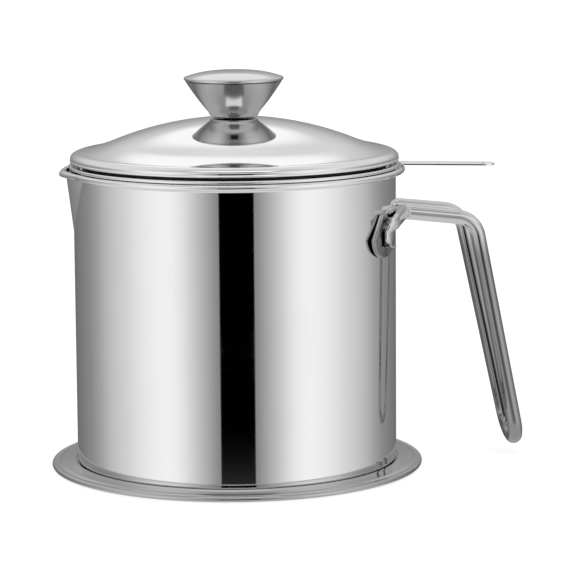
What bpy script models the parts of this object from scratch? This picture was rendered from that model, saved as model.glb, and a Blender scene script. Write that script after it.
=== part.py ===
"""Bacon grease container: a steel pot with a fixed wire handle and a pouring spout,
a lift-out strainer, a lid with a knob, and the drip tray that the pot stands on.

The origin is the middle of the tray's flat underside, +Z is up, +X points to the handle
and -X to the spout. All lengths are in metres.
"""
import math

import bmesh
import bpy
from mathutils import Matrix, Vector

# How round things are: counts of flats and of steps along an arc
WALL_FLATS = 42
SPOUT_FLATS = 14
RING_FLATS = 48
KNOB_FLATS = 24
SMALL_FLATS = 16
ROD_FLATS = 10
ARC_STEPS = 4
BEAD_STEPS = 6

# Clearances, and values for tidying curved faces
TOUCH_GAP = 0.0003
OVERRUN = 0.001
MERGE_DISTANCE = 0.00002
MITRE_LIMIT_SHARE = 0.5
TIDY_ANGLE = math.radians(0.02)
SOFT_ANGLE = math.radians(35.0)
ROD_SOFT_ANGLE = math.radians(50.0)
FACET_ANGLE = math.radians(20.0)

# Drip tray
TRAY_MARGIN = 0.0097
TRAY_SHEET = 0.0006
TRAY_BEAD_RADIUS = 0.00095
TRAY_CURL_ANGLE = 270.0
TRAY_SHELF_HEIGHT = 0.0023
TRAY_PAN_INSET = 0.0105
TRAY_PAN_WALL_RUN = 0.0025

# Pot
POT_RADIUS = 0.0605
POT_SHEET = 0.0006
POT_RIM_HEIGHT = 0.1122
POT_RIM_BEAD_RADIUS = 0.00115
POT_RIM_BEAD_OUTSET = 0.0023
POT_CURL_START = -115.0
POT_CURL_END = 165.0
POT_FLARE_HEIGHT = 0.0030
POT_FLARE_SHARE = 0.8
POT_CORNER_RADIUS = 0.0014
POT_BASE_DISH = 0.0010
POT_FOOT_WIDTH = 0.0050

# Pouring spout, pressed into the wall under the rim
SPOUT_HEIGHT = 0.0215
SPOUT_HALF_WIDTH = 0.0130
SPOUT_REACH = 0.0027
SPOUT_RIM_REACH = 0.0018
SPOUT_SECTOR_WIDTH = 0.0364
SPOUT_SIDE_SHARE = 0.9
SPOUT_NOSE_SHARE = 1.3
SPOUT_ROWS = 6

# Handle: one bent rod with flattened ends, on two shield-shaped plates
ROD_RADIUS = 0.00275
TONGUE_WIDTH = 0.0060
TONGUE_THICKNESS = 0.0022
TONGUE_LENGTH = 0.0055
PLATE_ANGLE = math.radians(36.0)
PLATE_DROP = 0.0227
PLATE_HALF_WIDTH = 0.0090
PLATE_RISE = 0.0086
PLATE_FALL = 0.0075
PLATE_TOP_HALF_WIDTH = 0.0017
PLATE_ROUND_STEPS = 12
PLATE_THICKNESS = 0.0015
PLATE_BEVEL = 0.0005
TONGUE_DROP = 0.0032
ARM_RISE = 0.0062
ARM_STAND_OFF = 0.0016
ARM_START_OUTSET = 0.0037
ARM_START_HALF_SPREAD = 0.0128
BEND_OUTSET = 0.0291
BEND_HALF_SPREAD = 0.0126
BEND_DROP = 0.0032
LEG_OUTSET = 0.0455
LEG_HALF_SPREAD = 0.0085
LEG_BOTTOM = 0.0140
ARM_START_BEND = 0.0035
HANDLE_BEND = 0.0090
TONGUE_BEND = 0.0030

# Strainer
STRAINER_SHEET = 0.0005
STRAINER_BEAD_RADIUS = 0.0008
STRAINER_BEAD_INSET = 0.0015
STRAINER_CURL_ANGLE = 280.0
STRAINER_SEAT_GAP = 0.00035
STRAINER_WALL_GAP = 0.0010
STRAINER_TAPER = 0.0015
STRAINER_DEPTH = 0.0220
STRAINER_NECK = 0.0045
STRAINER_LEDGE = 0.0060
NET_THICKNESS = 0.0008
NET_PITCH = 0.0096
NET_BAR_WIDTH = 0.0016
NET_EDGE_WIDTH = 0.0024
NET_EDGE_GAP = 0.0006
CLAMP_RING_WIDTH = 0.0036
CLAMP_RING_THICKNESS = 0.0008
STRIP_WIDTH = 0.0085
STRIP_THICKNESS = 0.0008
STRIP_OVERHANG = 0.0370
STRIP_HOLE_RADIUS = 0.0020
STRIP_DROOP = 0.0004
STRIP_TURN = math.radians(-10.5)
STRIP_END_FLATS = 12

# Lid
LID_SHEET = 0.0006
LID_OVERHANG = 0.0011
LID_LIP_TUCK = 0.0004
LID_LIP_HEIGHT = 0.0018
LID_SEAT_GAP = 0.0004
LID_SHOULDER_WIDTH = 0.0036
LID_SHOULDER_RISE = 0.0023
LID_BRIM_WIDTH = 0.0107
LID_BRIM_RISE = 0.0031
LID_BRIM_CROWN = 0.0002
LID_DOME_RISE = 0.0093
LID_DOME_STEPS = 6
LID_SKIRT_GAP = 0.0010
LID_SKIRT_DEPTH = 0.0046
LID_SKIRT_FLANGE = 0.0045
LID_SKIRT_SHEET = 0.0006

# Knob
KNOB_FOOT_RADIUS = 0.0072
KNOB_FOOT_FILLET = 0.0013
KNOB_TOP_RADIUS = 0.0178
KNOB_HEIGHT = 0.0134
KNOB_BULGE = 0.0006
KNOB_SHEET = 0.0009
KNOB_FLOOR = 0.0012
KNOB_SIDE_STEPS = 5
CAP_RADIUS = 0.0187
CAP_EDGE = 0.0013
CAP_RISE = 0.0024
CAP_SHEET = 0.0009
CAP_STEPS = 5
CAP_SPIGOT_GAP = 0.0004
CAP_SPIGOT_DEPTH = 0.0012
SCREW_RADIUS = 0.0020
SCREW_HOLE_GAP = 0.0004
SCREW_HEAD_RADIUS = 0.0039
SCREW_HEAD_HEIGHT = 0.0022
SCREW_REACH = 0.0070
SCREW_SLOT_WIDTH = 0.0009
SCREW_SLOT_LENGTH = 0.0040
SCREW_SLOT_DEPTH = 0.0011
INSERT_RADIUS = 0.0046
INSERT_HEIGHT = 0.0060
INSERT_FLATS = 6
INSERT_STEPS_A_FLAT = 3
WASHER_RADIUS = 0.0052
WASHER_THICKNESS = 0.0008
SPRING_WASHER_RADIUS = 0.0038
SPRING_WASHER_THICKNESS = 0.0010
SPRING_WASHER_SLIT = 0.0008
KNOB_SEAT_RADIUS = 0.0085

# Places that follow from the sizes above
TRAY_RADIUS = POT_RADIUS + TRAY_MARGIN
TRAY_PAN_RADIUS = POT_RADIUS - TRAY_PAN_INSET
POT_FOOT_Z = TRAY_SHELF_HEIGHT + TOUCH_GAP
POT_FLARE_Z = POT_RIM_HEIGHT - POT_FLARE_HEIGHT
POT_BEAD_R = POT_RADIUS + POT_RIM_BEAD_OUTSET
POT_INNER_RADIUS = POT_RADIUS - POT_SHEET
PLATE_HEIGHT = POT_RIM_HEIGHT - PLATE_DROP
ARM_START = POT_RADIUS + ARM_START_OUTSET
BEND_REACH = POT_RADIUS + BEND_OUTSET
LEG_REACH = POT_RADIUS + LEG_OUTSET
STRIP_END = POT_RADIUS + STRIP_OVERHANG
LID_RADIUS = POT_RADIUS + LID_OVERHANG
STRAINER_BEAD_R = POT_BEAD_R - STRAINER_BEAD_INSET
BEADS_APART = POT_RIM_BEAD_RADIUS + STRAINER_BEAD_RADIUS + STRAINER_SEAT_GAP
STRAINER_BEAD_Z = POT_RIM_HEIGHT + math.sqrt(BEADS_APART ** 2 - STRAINER_BEAD_INSET ** 2)
STRAINER_WALL_R = POT_INNER_RADIUS - STRAINER_WALL_GAP
STRAINER_FOOT_R = STRAINER_WALL_R - STRAINER_TAPER
STRAINER_FOOT_Z = STRAINER_BEAD_Z - STRAINER_DEPTH
NET_RADIUS = STRAINER_FOOT_R - STRAINER_SHEET - NET_EDGE_GAP
NET_Z = STRAINER_FOOT_Z + STRAINER_SHEET + TOUCH_GAP
CLAMP_RING_Z = NET_Z + NET_THICKNESS + TOUCH_GAP
LID_LIP_Z = STRAINER_BEAD_Z + STRAINER_BEAD_RADIUS + LID_SEAT_GAP
LID_LIP_TOP_Z = LID_LIP_Z + LID_LIP_HEIGHT
LID_BRIM_R = LID_RADIUS - LID_SHOULDER_WIDTH
LID_BRIM_Z = LID_LIP_TOP_Z + LID_SHOULDER_RISE
LID_DOME_R = LID_BRIM_R - LID_BRIM_WIDTH
LID_DOME_Z = LID_BRIM_Z + LID_BRIM_RISE
LID_DOME_CURVE = (LID_DOME_R ** 2 + LID_DOME_RISE ** 2) / (2 * LID_DOME_RISE)


def lid_dome_height(radius):
    """Height of the dome's outer face at a distance from the axis."""
    centre = LID_DOME_Z + LID_DOME_RISE - LID_DOME_CURVE
    return centre + math.sqrt(LID_DOME_CURVE ** 2 - radius ** 2)


LID_SEAT_Z = lid_dome_height(KNOB_SEAT_RADIUS)
SCREW_HOLE_RADIUS = SCREW_RADIUS + SCREW_HOLE_GAP
KNOB_Z = LID_SEAT_Z + TOUCH_GAP
KNOB_FLOOR_Z = KNOB_Z + KNOB_FLOOR
KNOB_TOP_Z = KNOB_Z + KNOB_HEIGHT
WASHER_Z = LID_SEAT_Z - LID_SHEET - TOUCH_GAP - WASHER_THICKNESS
SPRING_WASHER_Z = WASHER_Z - TOUCH_GAP - SPRING_WASHER_THICKNESS
SCREW_HEAD_Z = SPRING_WASHER_Z - TOUCH_GAP - SCREW_HEAD_HEIGHT


def clear_scene():
    for old in list(bpy.data.objects):
        bpy.data.objects.remove(old, do_unlink=True)


def make_steel(name, colour, roughness):
    material = bpy.data.materials.new(name)
    material.use_nodes = True
    shader = material.node_tree.nodes["Principled BSDF"]
    shader.inputs["Base Color"].default_value = (*colour, 1.0)
    shader.inputs["Roughness"].default_value = roughness
    shader.inputs["Metallic"].default_value = 1.0
    return material


def make_object(name, bm, material, smooth_angle=SOFT_ANGLE):
    """Turn a bmesh into a scene object with outward faces and smooth shading."""
    bmesh.ops.recalc_face_normals(bm, faces=bm.faces)
    mesh = bpy.data.meshes.new(name)
    bm.to_mesh(mesh)
    bm.free()
    mesh.materials.append(material)
    mesh.shade_smooth()
    mesh.set_sharp_from_angle(angle=smooth_angle)
    obj = bpy.data.objects.new(name, mesh)
    bpy.context.collection.objects.link(obj)
    return obj


def make_empty(name, location):
    empty = bpy.data.objects.new(name, None)
    empty.location = location
    bpy.context.collection.objects.link(empty)
    return empty


def arc(centre, radius, start, end, steps):
    """Points (r, z) on a circle, from one angle to another in degrees, both ends kept."""
    points = []
    for step in range(steps + 1):
        angle = math.radians(start + (end - start) * step / steps)
        points.append((centre[0] + radius * math.cos(angle), centre[1] + radius * math.sin(angle)))
    return points


def offset_path(points, distance):
    """A path set off to its left by a distance, with mitred corners."""
    result = []
    for index, point in enumerate(points):
        before = Vector(points[max(index - 1, 0)])
        after = Vector(points[min(index + 1, len(points) - 1)])
        here = Vector(point)
        incoming = (here - before) if index > 0 else (after - here)
        outgoing = (after - here) if index < len(points) - 1 else incoming
        first = Vector((-incoming.y, incoming.x)).normalized()
        second = Vector((-outgoing.y, outgoing.x)).normalized()
        mitre = (first + second).normalized()
        moved = here + mitre * (distance / max(mitre.dot(first), MITRE_LIMIT_SHARE))
        result.append((moved.x, moved.y))
    return result


def radius_at(path, height):
    """Radius at a height of a path of (r, z) points that rises all the way."""
    for (low_r, low_z), (high_r, high_z) in zip(path, path[1:]):
        if low_z <= height <= high_z:
            return low_r + (high_r - low_r) * (height - low_z) / (high_z - low_z)
    return path[-1][0]


def join_flat_faces(bm):
    bmesh.ops.dissolve_limit(bm, angle_limit=TIDY_ANGLE, verts=bm.verts, edges=bm.edges)


def turn(profile, closed, sectors):
    """Spin a profile of (r, z) points about Z through sectors of (angle, flats).

    A closed profile is a ring's section. An open one starts and ends on the axis.
    The first sector starts at +X. Flat stretches are joined into single faces.
    """
    bm = bmesh.new()
    verts = [bm.verts.new((r, 0.0, z)) for r, z in profile]
    edges = [bm.edges.new(pair) for pair in zip(verts, verts[1:])]
    if closed:
        edges.append(bm.edges.new((verts[-1], verts[0])))
    geometry = verts + edges
    for angle, flats in sectors:
        spun = bmesh.ops.spin(bm, geom=geometry, cent=(0, 0, 0), axis=(0, 0, 1),
                              angle=angle, steps=flats, use_duplicate=False)
        geometry = spun["geom_last"]
    bmesh.ops.remove_doubles(bm, verts=bm.verts, dist=MERGE_DISTANCE)
    join_flat_faces(bm)
    return bm


def whole_turn(flats):
    return [(2 * math.pi, flats)]


def extrude_outline(outline, low, height):
    """A solid between a flat outline of (x, y) points and its copy above it."""
    bm = bmesh.new()
    face = bm.faces.new([bm.verts.new((x, y, low)) for x, y in outline])
    extruded = bmesh.ops.extrude_face_region(bm, geom=[face])["geom"]
    raised = [item for item in extruded if isinstance(item, bmesh.types.BMVert)]
    bmesh.ops.translate(bm, verts=raised, vec=(0.0, 0.0, height))
    return bm


def combine(obj, tool, operation):
    """Cut or join one object with another, which stays in the file as a wire guide."""
    tool.hide_render = True
    tool.display_type = "WIRE"
    step = obj.modifiers.new(operation.title() + " " + tool.name, "BOOLEAN")
    step.operation = operation
    step.solver = "EXACT"
    step.object = tool


def ring_section(inner_radius, outer_radius, low, high):
    return [(inner_radius, low), (outer_radius, low), (outer_radius, high), (inner_radius, high)]


def build_tray(steel):
    """Pressed tray: a flat pan, a raised shelf that carries the pot, and a rolled edge."""
    bead_r = TRAY_RADIUS - TRAY_BEAD_RADIUS
    shelf_under = TRAY_SHELF_HEIGHT - TRAY_SHEET
    top = [(0.0, TRAY_SHEET), (TRAY_PAN_RADIUS, TRAY_SHEET),
           (TRAY_PAN_RADIUS + TRAY_PAN_WALL_RUN, TRAY_SHELF_HEIGHT),
           (bead_r - TRAY_PAN_WALL_RUN, TRAY_SHELF_HEIGHT)]
    bead = arc((bead_r, TRAY_BEAD_RADIUS), TRAY_BEAD_RADIUS, 90.0, 90.0 - TRAY_CURL_ANGLE, BEAD_STEPS)
    under = [(bead_r - TRAY_PAN_WALL_RUN, shelf_under),
             (TRAY_PAN_RADIUS + TRAY_PAN_WALL_RUN + TRAY_SHEET, shelf_under),
             (TRAY_PAN_RADIUS + TRAY_SHEET, 0.0), (0.0, 0.0)]
    bm = turn(top + bead + under, False, whole_turn(RING_FLATS))
    return make_object("drip_tray", bm, steel)


def pot_outline():
    """The pot's outer face from the axis at its base up to the rim's bead."""
    foot_r = POT_RADIUS - POT_CORNER_RADIUS
    corner = (foot_r, POT_FOOT_Z + POT_CORNER_RADIUS)
    path = [(0.0, POT_FOOT_Z + POT_BASE_DISH),
            (foot_r - POT_FOOT_WIDTH, POT_FOOT_Z + POT_BASE_DISH),
            (foot_r - POT_FOOT_WIDTH + POT_BASE_DISH, POT_FOOT_Z)]
    path += arc(corner, POT_CORNER_RADIUS, -90.0, 0.0, ARC_STEPS)
    spout_z = POT_FLARE_Z - SPOUT_HEIGHT
    for row in range(SPOUT_ROWS):
        path.append((POT_RADIUS, spout_z + SPOUT_HEIGHT * row / SPOUT_ROWS))
    flare_out = POT_RIM_BEAD_OUTSET - POT_RIM_BEAD_RADIUS + POT_SHEET
    for step in range(ARC_STEPS):
        turned = math.pi / 2 * POT_FLARE_SHARE * step / ARC_STEPS
        path.append((POT_RADIUS + flare_out * (1 - math.cos(turned)),
                     POT_FLARE_Z + POT_FLARE_HEIGHT * POT_FLARE_SHARE * math.sin(turned)))
    return path


def press_spout(bm):
    """Push the wall and the rim outward at -X into a V with a round nose."""
    foot_z = POT_FLARE_Z - SPOUT_HEIGHT
    for vert in bm.verts:
        height = (vert.co.z - foot_z) / SPOUT_HEIGHT
        if height <= 0 or vert.co.x >= 0:
            continue
        height = min(height, 1.0)
        half_width = SPOUT_HALF_WIDTH * height ** SPOUT_SIDE_SHARE
        across = abs(vert.co.y) / half_width
        if across >= 1:
            continue
        to_rim = min(max((vert.co.z - POT_FLARE_Z) / POT_FLARE_HEIGHT, 0.0), 1.0)
        reach = SPOUT_REACH + (SPOUT_RIM_REACH - SPOUT_REACH) * to_rim
        vert.co.x -= reach * height * (1 - across ** SPOUT_NOSE_SHARE)


def build_pot(steel):
    """Drawn pot with a rolled rim; the spout is pressed in after the turning."""
    outer = pot_outline()
    inner = offset_path(outer, POT_SHEET)
    inner[0] = (0.0, inner[0][1])
    bead = arc((POT_BEAD_R, POT_RIM_HEIGHT), POT_RIM_BEAD_RADIUS, POT_CURL_START, POT_CURL_END,
               BEAD_STEPS)
    sector = SPOUT_SECTOR_WIDTH / POT_RADIUS
    open_turn = math.pi - sector / 2
    sectors = [(open_turn, WALL_FLATS // 2), (sector, SPOUT_FLATS), (open_turn, WALL_FLATS // 2)]
    bm = turn(outer + bead + inner[::-1], False, sectors)
    press_spout(bm)
    return make_object("pot_body", bm, steel)


def plate_place(side, distance, height):
    """A point in front of the wall on a handle plate's middle line; side is 1 or -1."""
    return Vector((distance * math.cos(PLATE_ANGLE), side * distance * math.sin(PLATE_ANGLE), height))


def build_handle_plate(name, side, steel):
    """Flat plate like a shield: straight sloping sides above, half an oval below, and a
    bevelled front edge."""
    corners = [(-PLATE_TOP_HALF_WIDTH, PLATE_RISE), (PLATE_TOP_HALF_WIDTH, PLATE_RISE)]
    for step in range(PLATE_ROUND_STEPS + 1):
        turned = math.pi * step / PLATE_ROUND_STEPS
        corners.append((PLATE_HALF_WIDTH * math.cos(turned), -PLATE_FALL * math.sin(turned)))
    bm = bmesh.new()
    face = bm.faces.new([bm.verts.new((0.0, y, z)) for y, z in corners])
    raised = bmesh.ops.extrude_face_region(bm, geom=[face])["geom"]
    front = [item for item in raised if isinstance(item, bmesh.types.BMVert)]
    bmesh.ops.translate(bm, verts=front, vec=(PLATE_THICKNESS, 0.0, 0.0))
    rim = [edge for edge in bm.edges if all(vert in front for vert in edge.verts)]
    bmesh.ops.bevel(bm, geom=rim, offset=PLATE_BEVEL, segments=1, affect="EDGES")
    plate = make_object(name, bm, steel, smooth_angle=FACET_ANGLE)
    plate.location = plate_place(side, POT_RADIUS + TOUCH_GAP, PLATE_HEIGHT)
    plate.rotation_euler = (0.0, 0.0, side * PLATE_ANGLE)
    return plate


def rounded_route(corners, bends, steps):
    """Points along straight runs, with an arc of the given radius at each inner corner."""
    route = [corners[0]]
    for before, corner, after, bend in zip(corners, corners[1:], corners[2:], bends):
        back = (before - corner).normalized()
        ahead = (after - corner).normalized()
        half = back.angle(ahead) / 2
        reach = bend / math.tan(half)
        centre = corner + (back + ahead).normalized() * (bend / math.sin(half))
        first = (corner + back * reach - centre).normalized()
        last = (corner + ahead * reach - centre).normalized()
        for step in range(steps + 1):
            route.append(centre + first.slerp(last, step / steps) * bend)
    route.append(corners[-1])
    return route


def handle_route():
    """Middle line of the rod's +Y half, from its flattened end to the loop's middle."""
    tongue = POT_RADIUS + PLATE_THICKNESS + 2 * TOUCH_GAP + TONGUE_THICKNESS / 2
    standing = POT_RADIUS + TOUCH_GAP + PLATE_THICKNESS + ARM_STAND_OFF + ROD_RADIUS
    arm_z = PLATE_HEIGHT + ARM_RISE
    low = plate_place(1, tongue, PLATE_HEIGHT - TONGUE_DROP)
    high = plate_place(1, tongue, PLATE_HEIGHT - TONGUE_DROP + TONGUE_LENGTH)
    over = plate_place(1, standing, arm_z)
    arm = Vector((ARM_START, ARM_START_HALF_SPREAD, arm_z))
    bend = Vector((BEND_REACH, BEND_HALF_SPREAD, arm_z - BEND_DROP))
    leg = Vector((LEG_REACH, LEG_HALF_SPREAD, LEG_BOTTOM))
    corners = [low, high, over, arm, bend, leg]
    bends = [TONGUE_BEND / 2, TONGUE_BEND, ARM_START_BEND, HANDLE_BEND]
    route = rounded_route(corners, bends, ARC_STEPS)
    down = leg - bend
    down.y = 0.0
    down.normalize()
    for step in range(1, 2 * ARC_STEPS + 1):
        angle = math.pi / 2 * step / (2 * ARC_STEPS)
        across = Vector((leg.x, LEG_HALF_SPREAD * math.cos(angle), leg.z))
        route.append(across + down * (LEG_HALF_SPREAD * math.sin(angle)))
    return route


def build_handle(steel):
    """Sweep a round section along half the rod, flat at its welded end, then mirror it."""
    route = handle_route()
    bm = bmesh.new()
    across = Vector((math.cos(PLATE_ANGLE), math.sin(PLATE_ANGLE), 0.0))
    run = 0.0
    round_start = TONGUE_LENGTH + 2 * TONGUE_BEND + ROD_RADIUS
    rings = []
    for index, point in enumerate(route):
        before = route[max(index - 1, 0)]
        after = route[min(index + 1, len(route) - 1)]
        run += (point - before).length
        along = (after - before).normalized()
        if index == len(route) - 1:
            along = Vector((0.0, -1.0, 0.0))
        across = (across - along * across.dot(along)).normalized()
        side = along.cross(across)
        roundness = min(max((run - TONGUE_LENGTH) / (round_start - TONGUE_LENGTH), 0.0), 1.0)
        half_thickness = TONGUE_THICKNESS / 2 + (ROD_RADIUS - TONGUE_THICKNESS / 2) * roundness
        half_width = TONGUE_WIDTH / 2 + (ROD_RADIUS - TONGUE_WIDTH / 2) * roundness
        ring = []
        for flat in range(ROD_FLATS):
            angle = 2 * math.pi * (flat + 0.5) / ROD_FLATS
            ring.append(bm.verts.new(point + across * (half_thickness * math.cos(angle))
                                     + side * (half_width * math.sin(angle))))
        rings.append(ring)
    for lower, upper in zip(rings, rings[1:]):
        for flat in range(ROD_FLATS):
            following = (flat + 1) % ROD_FLATS
            bm.faces.new((lower[flat], lower[following], upper[following], upper[flat]))
    bm.faces.new(rings[0])
    for vert in rings[-1]:
        vert.co.y = 0.0
    handle = make_object("handle_loop", bm, steel, smooth_angle=ROD_SOFT_ANGLE)
    mirror = handle.modifiers.new("Other half", "MIRROR")
    mirror.use_axis = (False, True, False)
    mirror.use_clip = True
    mirror.merge_threshold = MERGE_DISTANCE
    return handle


def build_basket(steel):
    """Strainer basket: a rolled rim, a neck, a tapered wall and a ledge for the net."""
    bead = arc((STRAINER_BEAD_R, STRAINER_BEAD_Z), STRAINER_BEAD_RADIUS, 180.0,
               180.0 - STRAINER_CURL_ANGLE, BEAD_STEPS)
    outer = [(STRAINER_WALL_R, STRAINER_BEAD_Z - STRAINER_NECK), (STRAINER_FOOT_R, STRAINER_FOOT_Z),
             (STRAINER_FOOT_R - STRAINER_LEDGE, STRAINER_FOOT_Z)]
    inner = offset_path([bead[-1]] + outer, -STRAINER_SHEET)[1:]
    inner[-1] = (outer[-1][0], inner[-1][1])
    bm = turn(bead + outer + inner[::-1], True, whole_turn(RING_FLATS))
    return make_object("strainer_basket", bm, steel)


def build_net(steel):
    """Round net: square gaps between crossing bars, inside a plain edge."""
    clear = NET_RADIUS - NET_EDGE_WIDTH
    half_gap = (NET_PITCH - NET_BAR_WIDTH) / 2
    count = int(clear / NET_PITCH) + 1
    bm = bmesh.new()
    bmesh.ops.create_circle(bm, cap_ends=True, radius=NET_RADIUS, segments=RING_FLATS)
    extruded = bmesh.ops.extrude_face_region(bm, geom=bm.faces[:])["geom"]
    raised = [item for item in extruded if isinstance(item, bmesh.types.BMVert)]
    bmesh.ops.translate(bm, verts=raised, vec=(0.0, 0.0, NET_THICKNESS))
    net = make_object("strainer_net", bm, steel)
    net.location = (0.0, 0.0, NET_Z)
    gaps = bmesh.new()
    for column in range(-count, count + 1):
        for row in range(-count, count + 1):
            x = column * NET_PITCH
            y = row * NET_PITCH
            if math.hypot(abs(x) + half_gap, abs(y) + half_gap) > clear:
                continue
            place = Matrix.Translation((x, y, NET_THICKNESS / 2))
            size = Matrix.Diagonal((2 * half_gap, 2 * half_gap, NET_THICKNESS + OVERRUN, 1.0))
            bmesh.ops.create_cube(gaps, size=1.0, matrix=place @ size)
    cutter = make_object("net_gaps", gaps, steel)
    cutter.location = net.location
    combine(net, cutter, "DIFFERENCE")
    return net


def build_clamp_ring(steel):
    """Flat ring that holds the net's edge down on the basket's ledge."""
    section = ring_section(NET_RADIUS - CLAMP_RING_WIDTH, NET_RADIUS,
                           CLAMP_RING_Z, CLAMP_RING_Z + CLAMP_RING_THICKNESS)
    return make_object("net_clamp_ring", turn(section, True, whole_turn(RING_FLATS)), steel)


def build_strip(steel):
    """The strainer's handle: a flat strip at the rim, drooping a little, with a hole."""
    inner = STRAINER_BEAD_R + STRAINER_BEAD_RADIUS + TOUCH_GAP
    half = STRIP_WIDTH / 2
    end_centre = STRIP_END - half
    outline = [(inner, -half), (inner, half)]
    outline += arc((end_centre, 0.0), half, 90.0, -90.0, STRIP_END_FLATS)
    strip_z = POT_RIM_HEIGHT + POT_RIM_BEAD_RADIUS + TOUCH_GAP
    bm = extrude_outline(outline, strip_z, STRIP_THICKNESS)
    for vert in bm.verts:
        vert.co.z -= STRIP_DROOP * (vert.co.x - inner) / (STRIP_END - inner)
    strip = make_object("strainer_handle", bm, steel)
    strip.rotation_euler = (0.0, 0.0, STRIP_TURN)
    hole = bmesh.new()
    bmesh.ops.create_cone(hole, cap_ends=True, segments=SMALL_FLATS, radius1=STRIP_HOLE_RADIUS,
                          radius2=STRIP_HOLE_RADIUS, depth=2 * STRIP_THICKNESS + 2 * OVERRUN)
    cutter = make_object("hanging_hole", hole, steel)
    cutter.location = (end_centre * math.cos(STRIP_TURN), end_centre * math.sin(STRIP_TURN), strip_z)
    combine(strip, cutter, "DIFFERENCE")
    return strip


def lid_outline():
    """The lid's outer face from the edge of the knob's flat seat out to the lip's edge."""
    path = [(KNOB_SEAT_RADIUS, LID_SEAT_Z)]
    for step in range(1, LID_DOME_STEPS + 1):
        radius = KNOB_SEAT_RADIUS + (LID_DOME_R - KNOB_SEAT_RADIUS) * step / LID_DOME_STEPS
        path.append((radius, lid_dome_height(radius)))
    middle = ((LID_DOME_R + LID_BRIM_R) / 2, (LID_DOME_Z + LID_BRIM_Z) / 2 + LID_BRIM_CROWN)
    path += [middle, (LID_BRIM_R, LID_BRIM_Z)]
    for step in range(1, ARC_STEPS + 1):
        angle = math.pi / 2 * step / ARC_STEPS
        path.append((LID_BRIM_R + LID_SHOULDER_WIDTH * math.sin(angle),
                     LID_LIP_TOP_Z + LID_SHOULDER_RISE * math.cos(angle)))
    path.append((LID_RADIUS - LID_LIP_TUCK, LID_LIP_Z))
    return path


def build_lid(steel):
    """Pressed lid: dome, brim and turned-down lip, with a flat seat and hole for the knob."""
    outer = lid_outline()
    inner = offset_path(outer, -LID_SHEET)
    outer.insert(0, (SCREW_HOLE_RADIUS, LID_SEAT_Z))
    inner[0] = (KNOB_SEAT_RADIUS, LID_SEAT_Z - LID_SHEET)
    inner.insert(0, (SCREW_HOLE_RADIUS, LID_SEAT_Z - LID_SHEET))
    inner[-1] = (inner[-1][0], LID_LIP_Z)
    bm = turn(outer + inner[::-1], True, whole_turn(RING_FLATS))
    return make_object("lid_shell", bm, steel)


def build_skirt(steel):
    """Ring under the brim that keeps the lid centred in the strainer."""
    wall_r = STRAINER_WALL_R - STRAINER_SHEET - LID_SKIRT_GAP
    slope = (LID_DOME_Z - LID_BRIM_Z) / (LID_DOME_R - LID_BRIM_R)
    under_gap = LID_SHEET + TOUCH_GAP + LID_BRIM_CROWN

    def brim_under(radius):
        return LID_BRIM_Z + slope * (radius - LID_BRIM_R) - under_gap

    inner_r = wall_r - LID_SKIRT_FLANGE
    low = brim_under(wall_r) - LID_SKIRT_DEPTH
    sheet = LID_SKIRT_SHEET
    section = [(wall_r, low), (wall_r, brim_under(wall_r)), (inner_r, brim_under(inner_r)),
               (inner_r, brim_under(inner_r) - sheet),
               (wall_r - sheet, brim_under(wall_r - sheet) - sheet), (wall_r - sheet, low)]
    bm = turn(section, True, whole_turn(RING_FLATS))
    return make_object("lid_locating_ring", bm, steel)


def knob_side():
    """The knob's outer side, from its foot up, bulging slightly like a bowl."""
    low_r = KNOB_FOOT_RADIUS + KNOB_FOOT_FILLET
    low_z = KNOB_Z + KNOB_FOOT_FILLET
    path = [(KNOB_FOOT_RADIUS, KNOB_Z)]
    for step in range(KNOB_SIDE_STEPS + 1):
        share = step / KNOB_SIDE_STEPS
        bulge = KNOB_BULGE * math.sin(math.pi * share)
        path.append((low_r + (KNOB_TOP_RADIUS - low_r) * share + bulge,
                     low_z + (KNOB_TOP_Z - low_z) * share))
    return path


def knob_inside():
    """The inner face of the knob's side, from above its floor up to its mouth."""
    inner = offset_path(knob_side(), KNOB_SHEET)
    inner[-1] = (inner[-1][0], KNOB_TOP_Z)
    return [point for point in inner if point[1] > KNOB_FLOOR_Z + KNOB_SHEET]


def build_knob_cone(steel):
    """Hollow grip, narrow at its foot, with a floor that the screw passes through."""
    floor_r = KNOB_FOOT_RADIUS - KNOB_SHEET
    floor = [(floor_r, KNOB_FLOOR_Z), (SCREW_HOLE_RADIUS, KNOB_FLOOR_Z), (SCREW_HOLE_RADIUS, KNOB_Z)]
    bm = turn(knob_side() + knob_inside()[::-1] + floor, True, whole_turn(KNOB_FLATS))
    return make_object("knob_cone", bm, steel)


def build_knob_cap(steel):
    """Domed cap with a rounded edge and a spigot that sits inside the grip's mouth."""
    low = KNOB_TOP_Z + TOUCH_GAP
    dome_r = CAP_RADIUS - CAP_EDGE / 2
    curve = (dome_r ** 2 + CAP_RISE ** 2) / (2 * CAP_RISE)
    dome = []
    for step in range(CAP_STEPS + 1):
        radius = dome_r * step / CAP_STEPS
        height = low + CAP_EDGE + CAP_RISE - curve + math.sqrt(curve ** 2 - radius ** 2)
        dome.append((radius, height))
    edge = arc((dome_r, low + CAP_EDGE / 2), CAP_EDGE / 2, 90.0, -90.0, ARC_STEPS)[1:]
    spigot_low = low - CAP_SPIGOT_DEPTH
    spigot_r = radius_at(knob_inside(), spigot_low) - CAP_SPIGOT_GAP
    spigot = [(spigot_r, low), (spigot_r, spigot_low), (spigot_r - CAP_SHEET, spigot_low),
              (spigot_r - CAP_SHEET, low)]
    under = [(0.0, low + CAP_EDGE)]
    bm = turn(dome + edge + spigot + under, False, whole_turn(KNOB_FLATS))
    return make_object("knob_cap", bm, steel)


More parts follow.
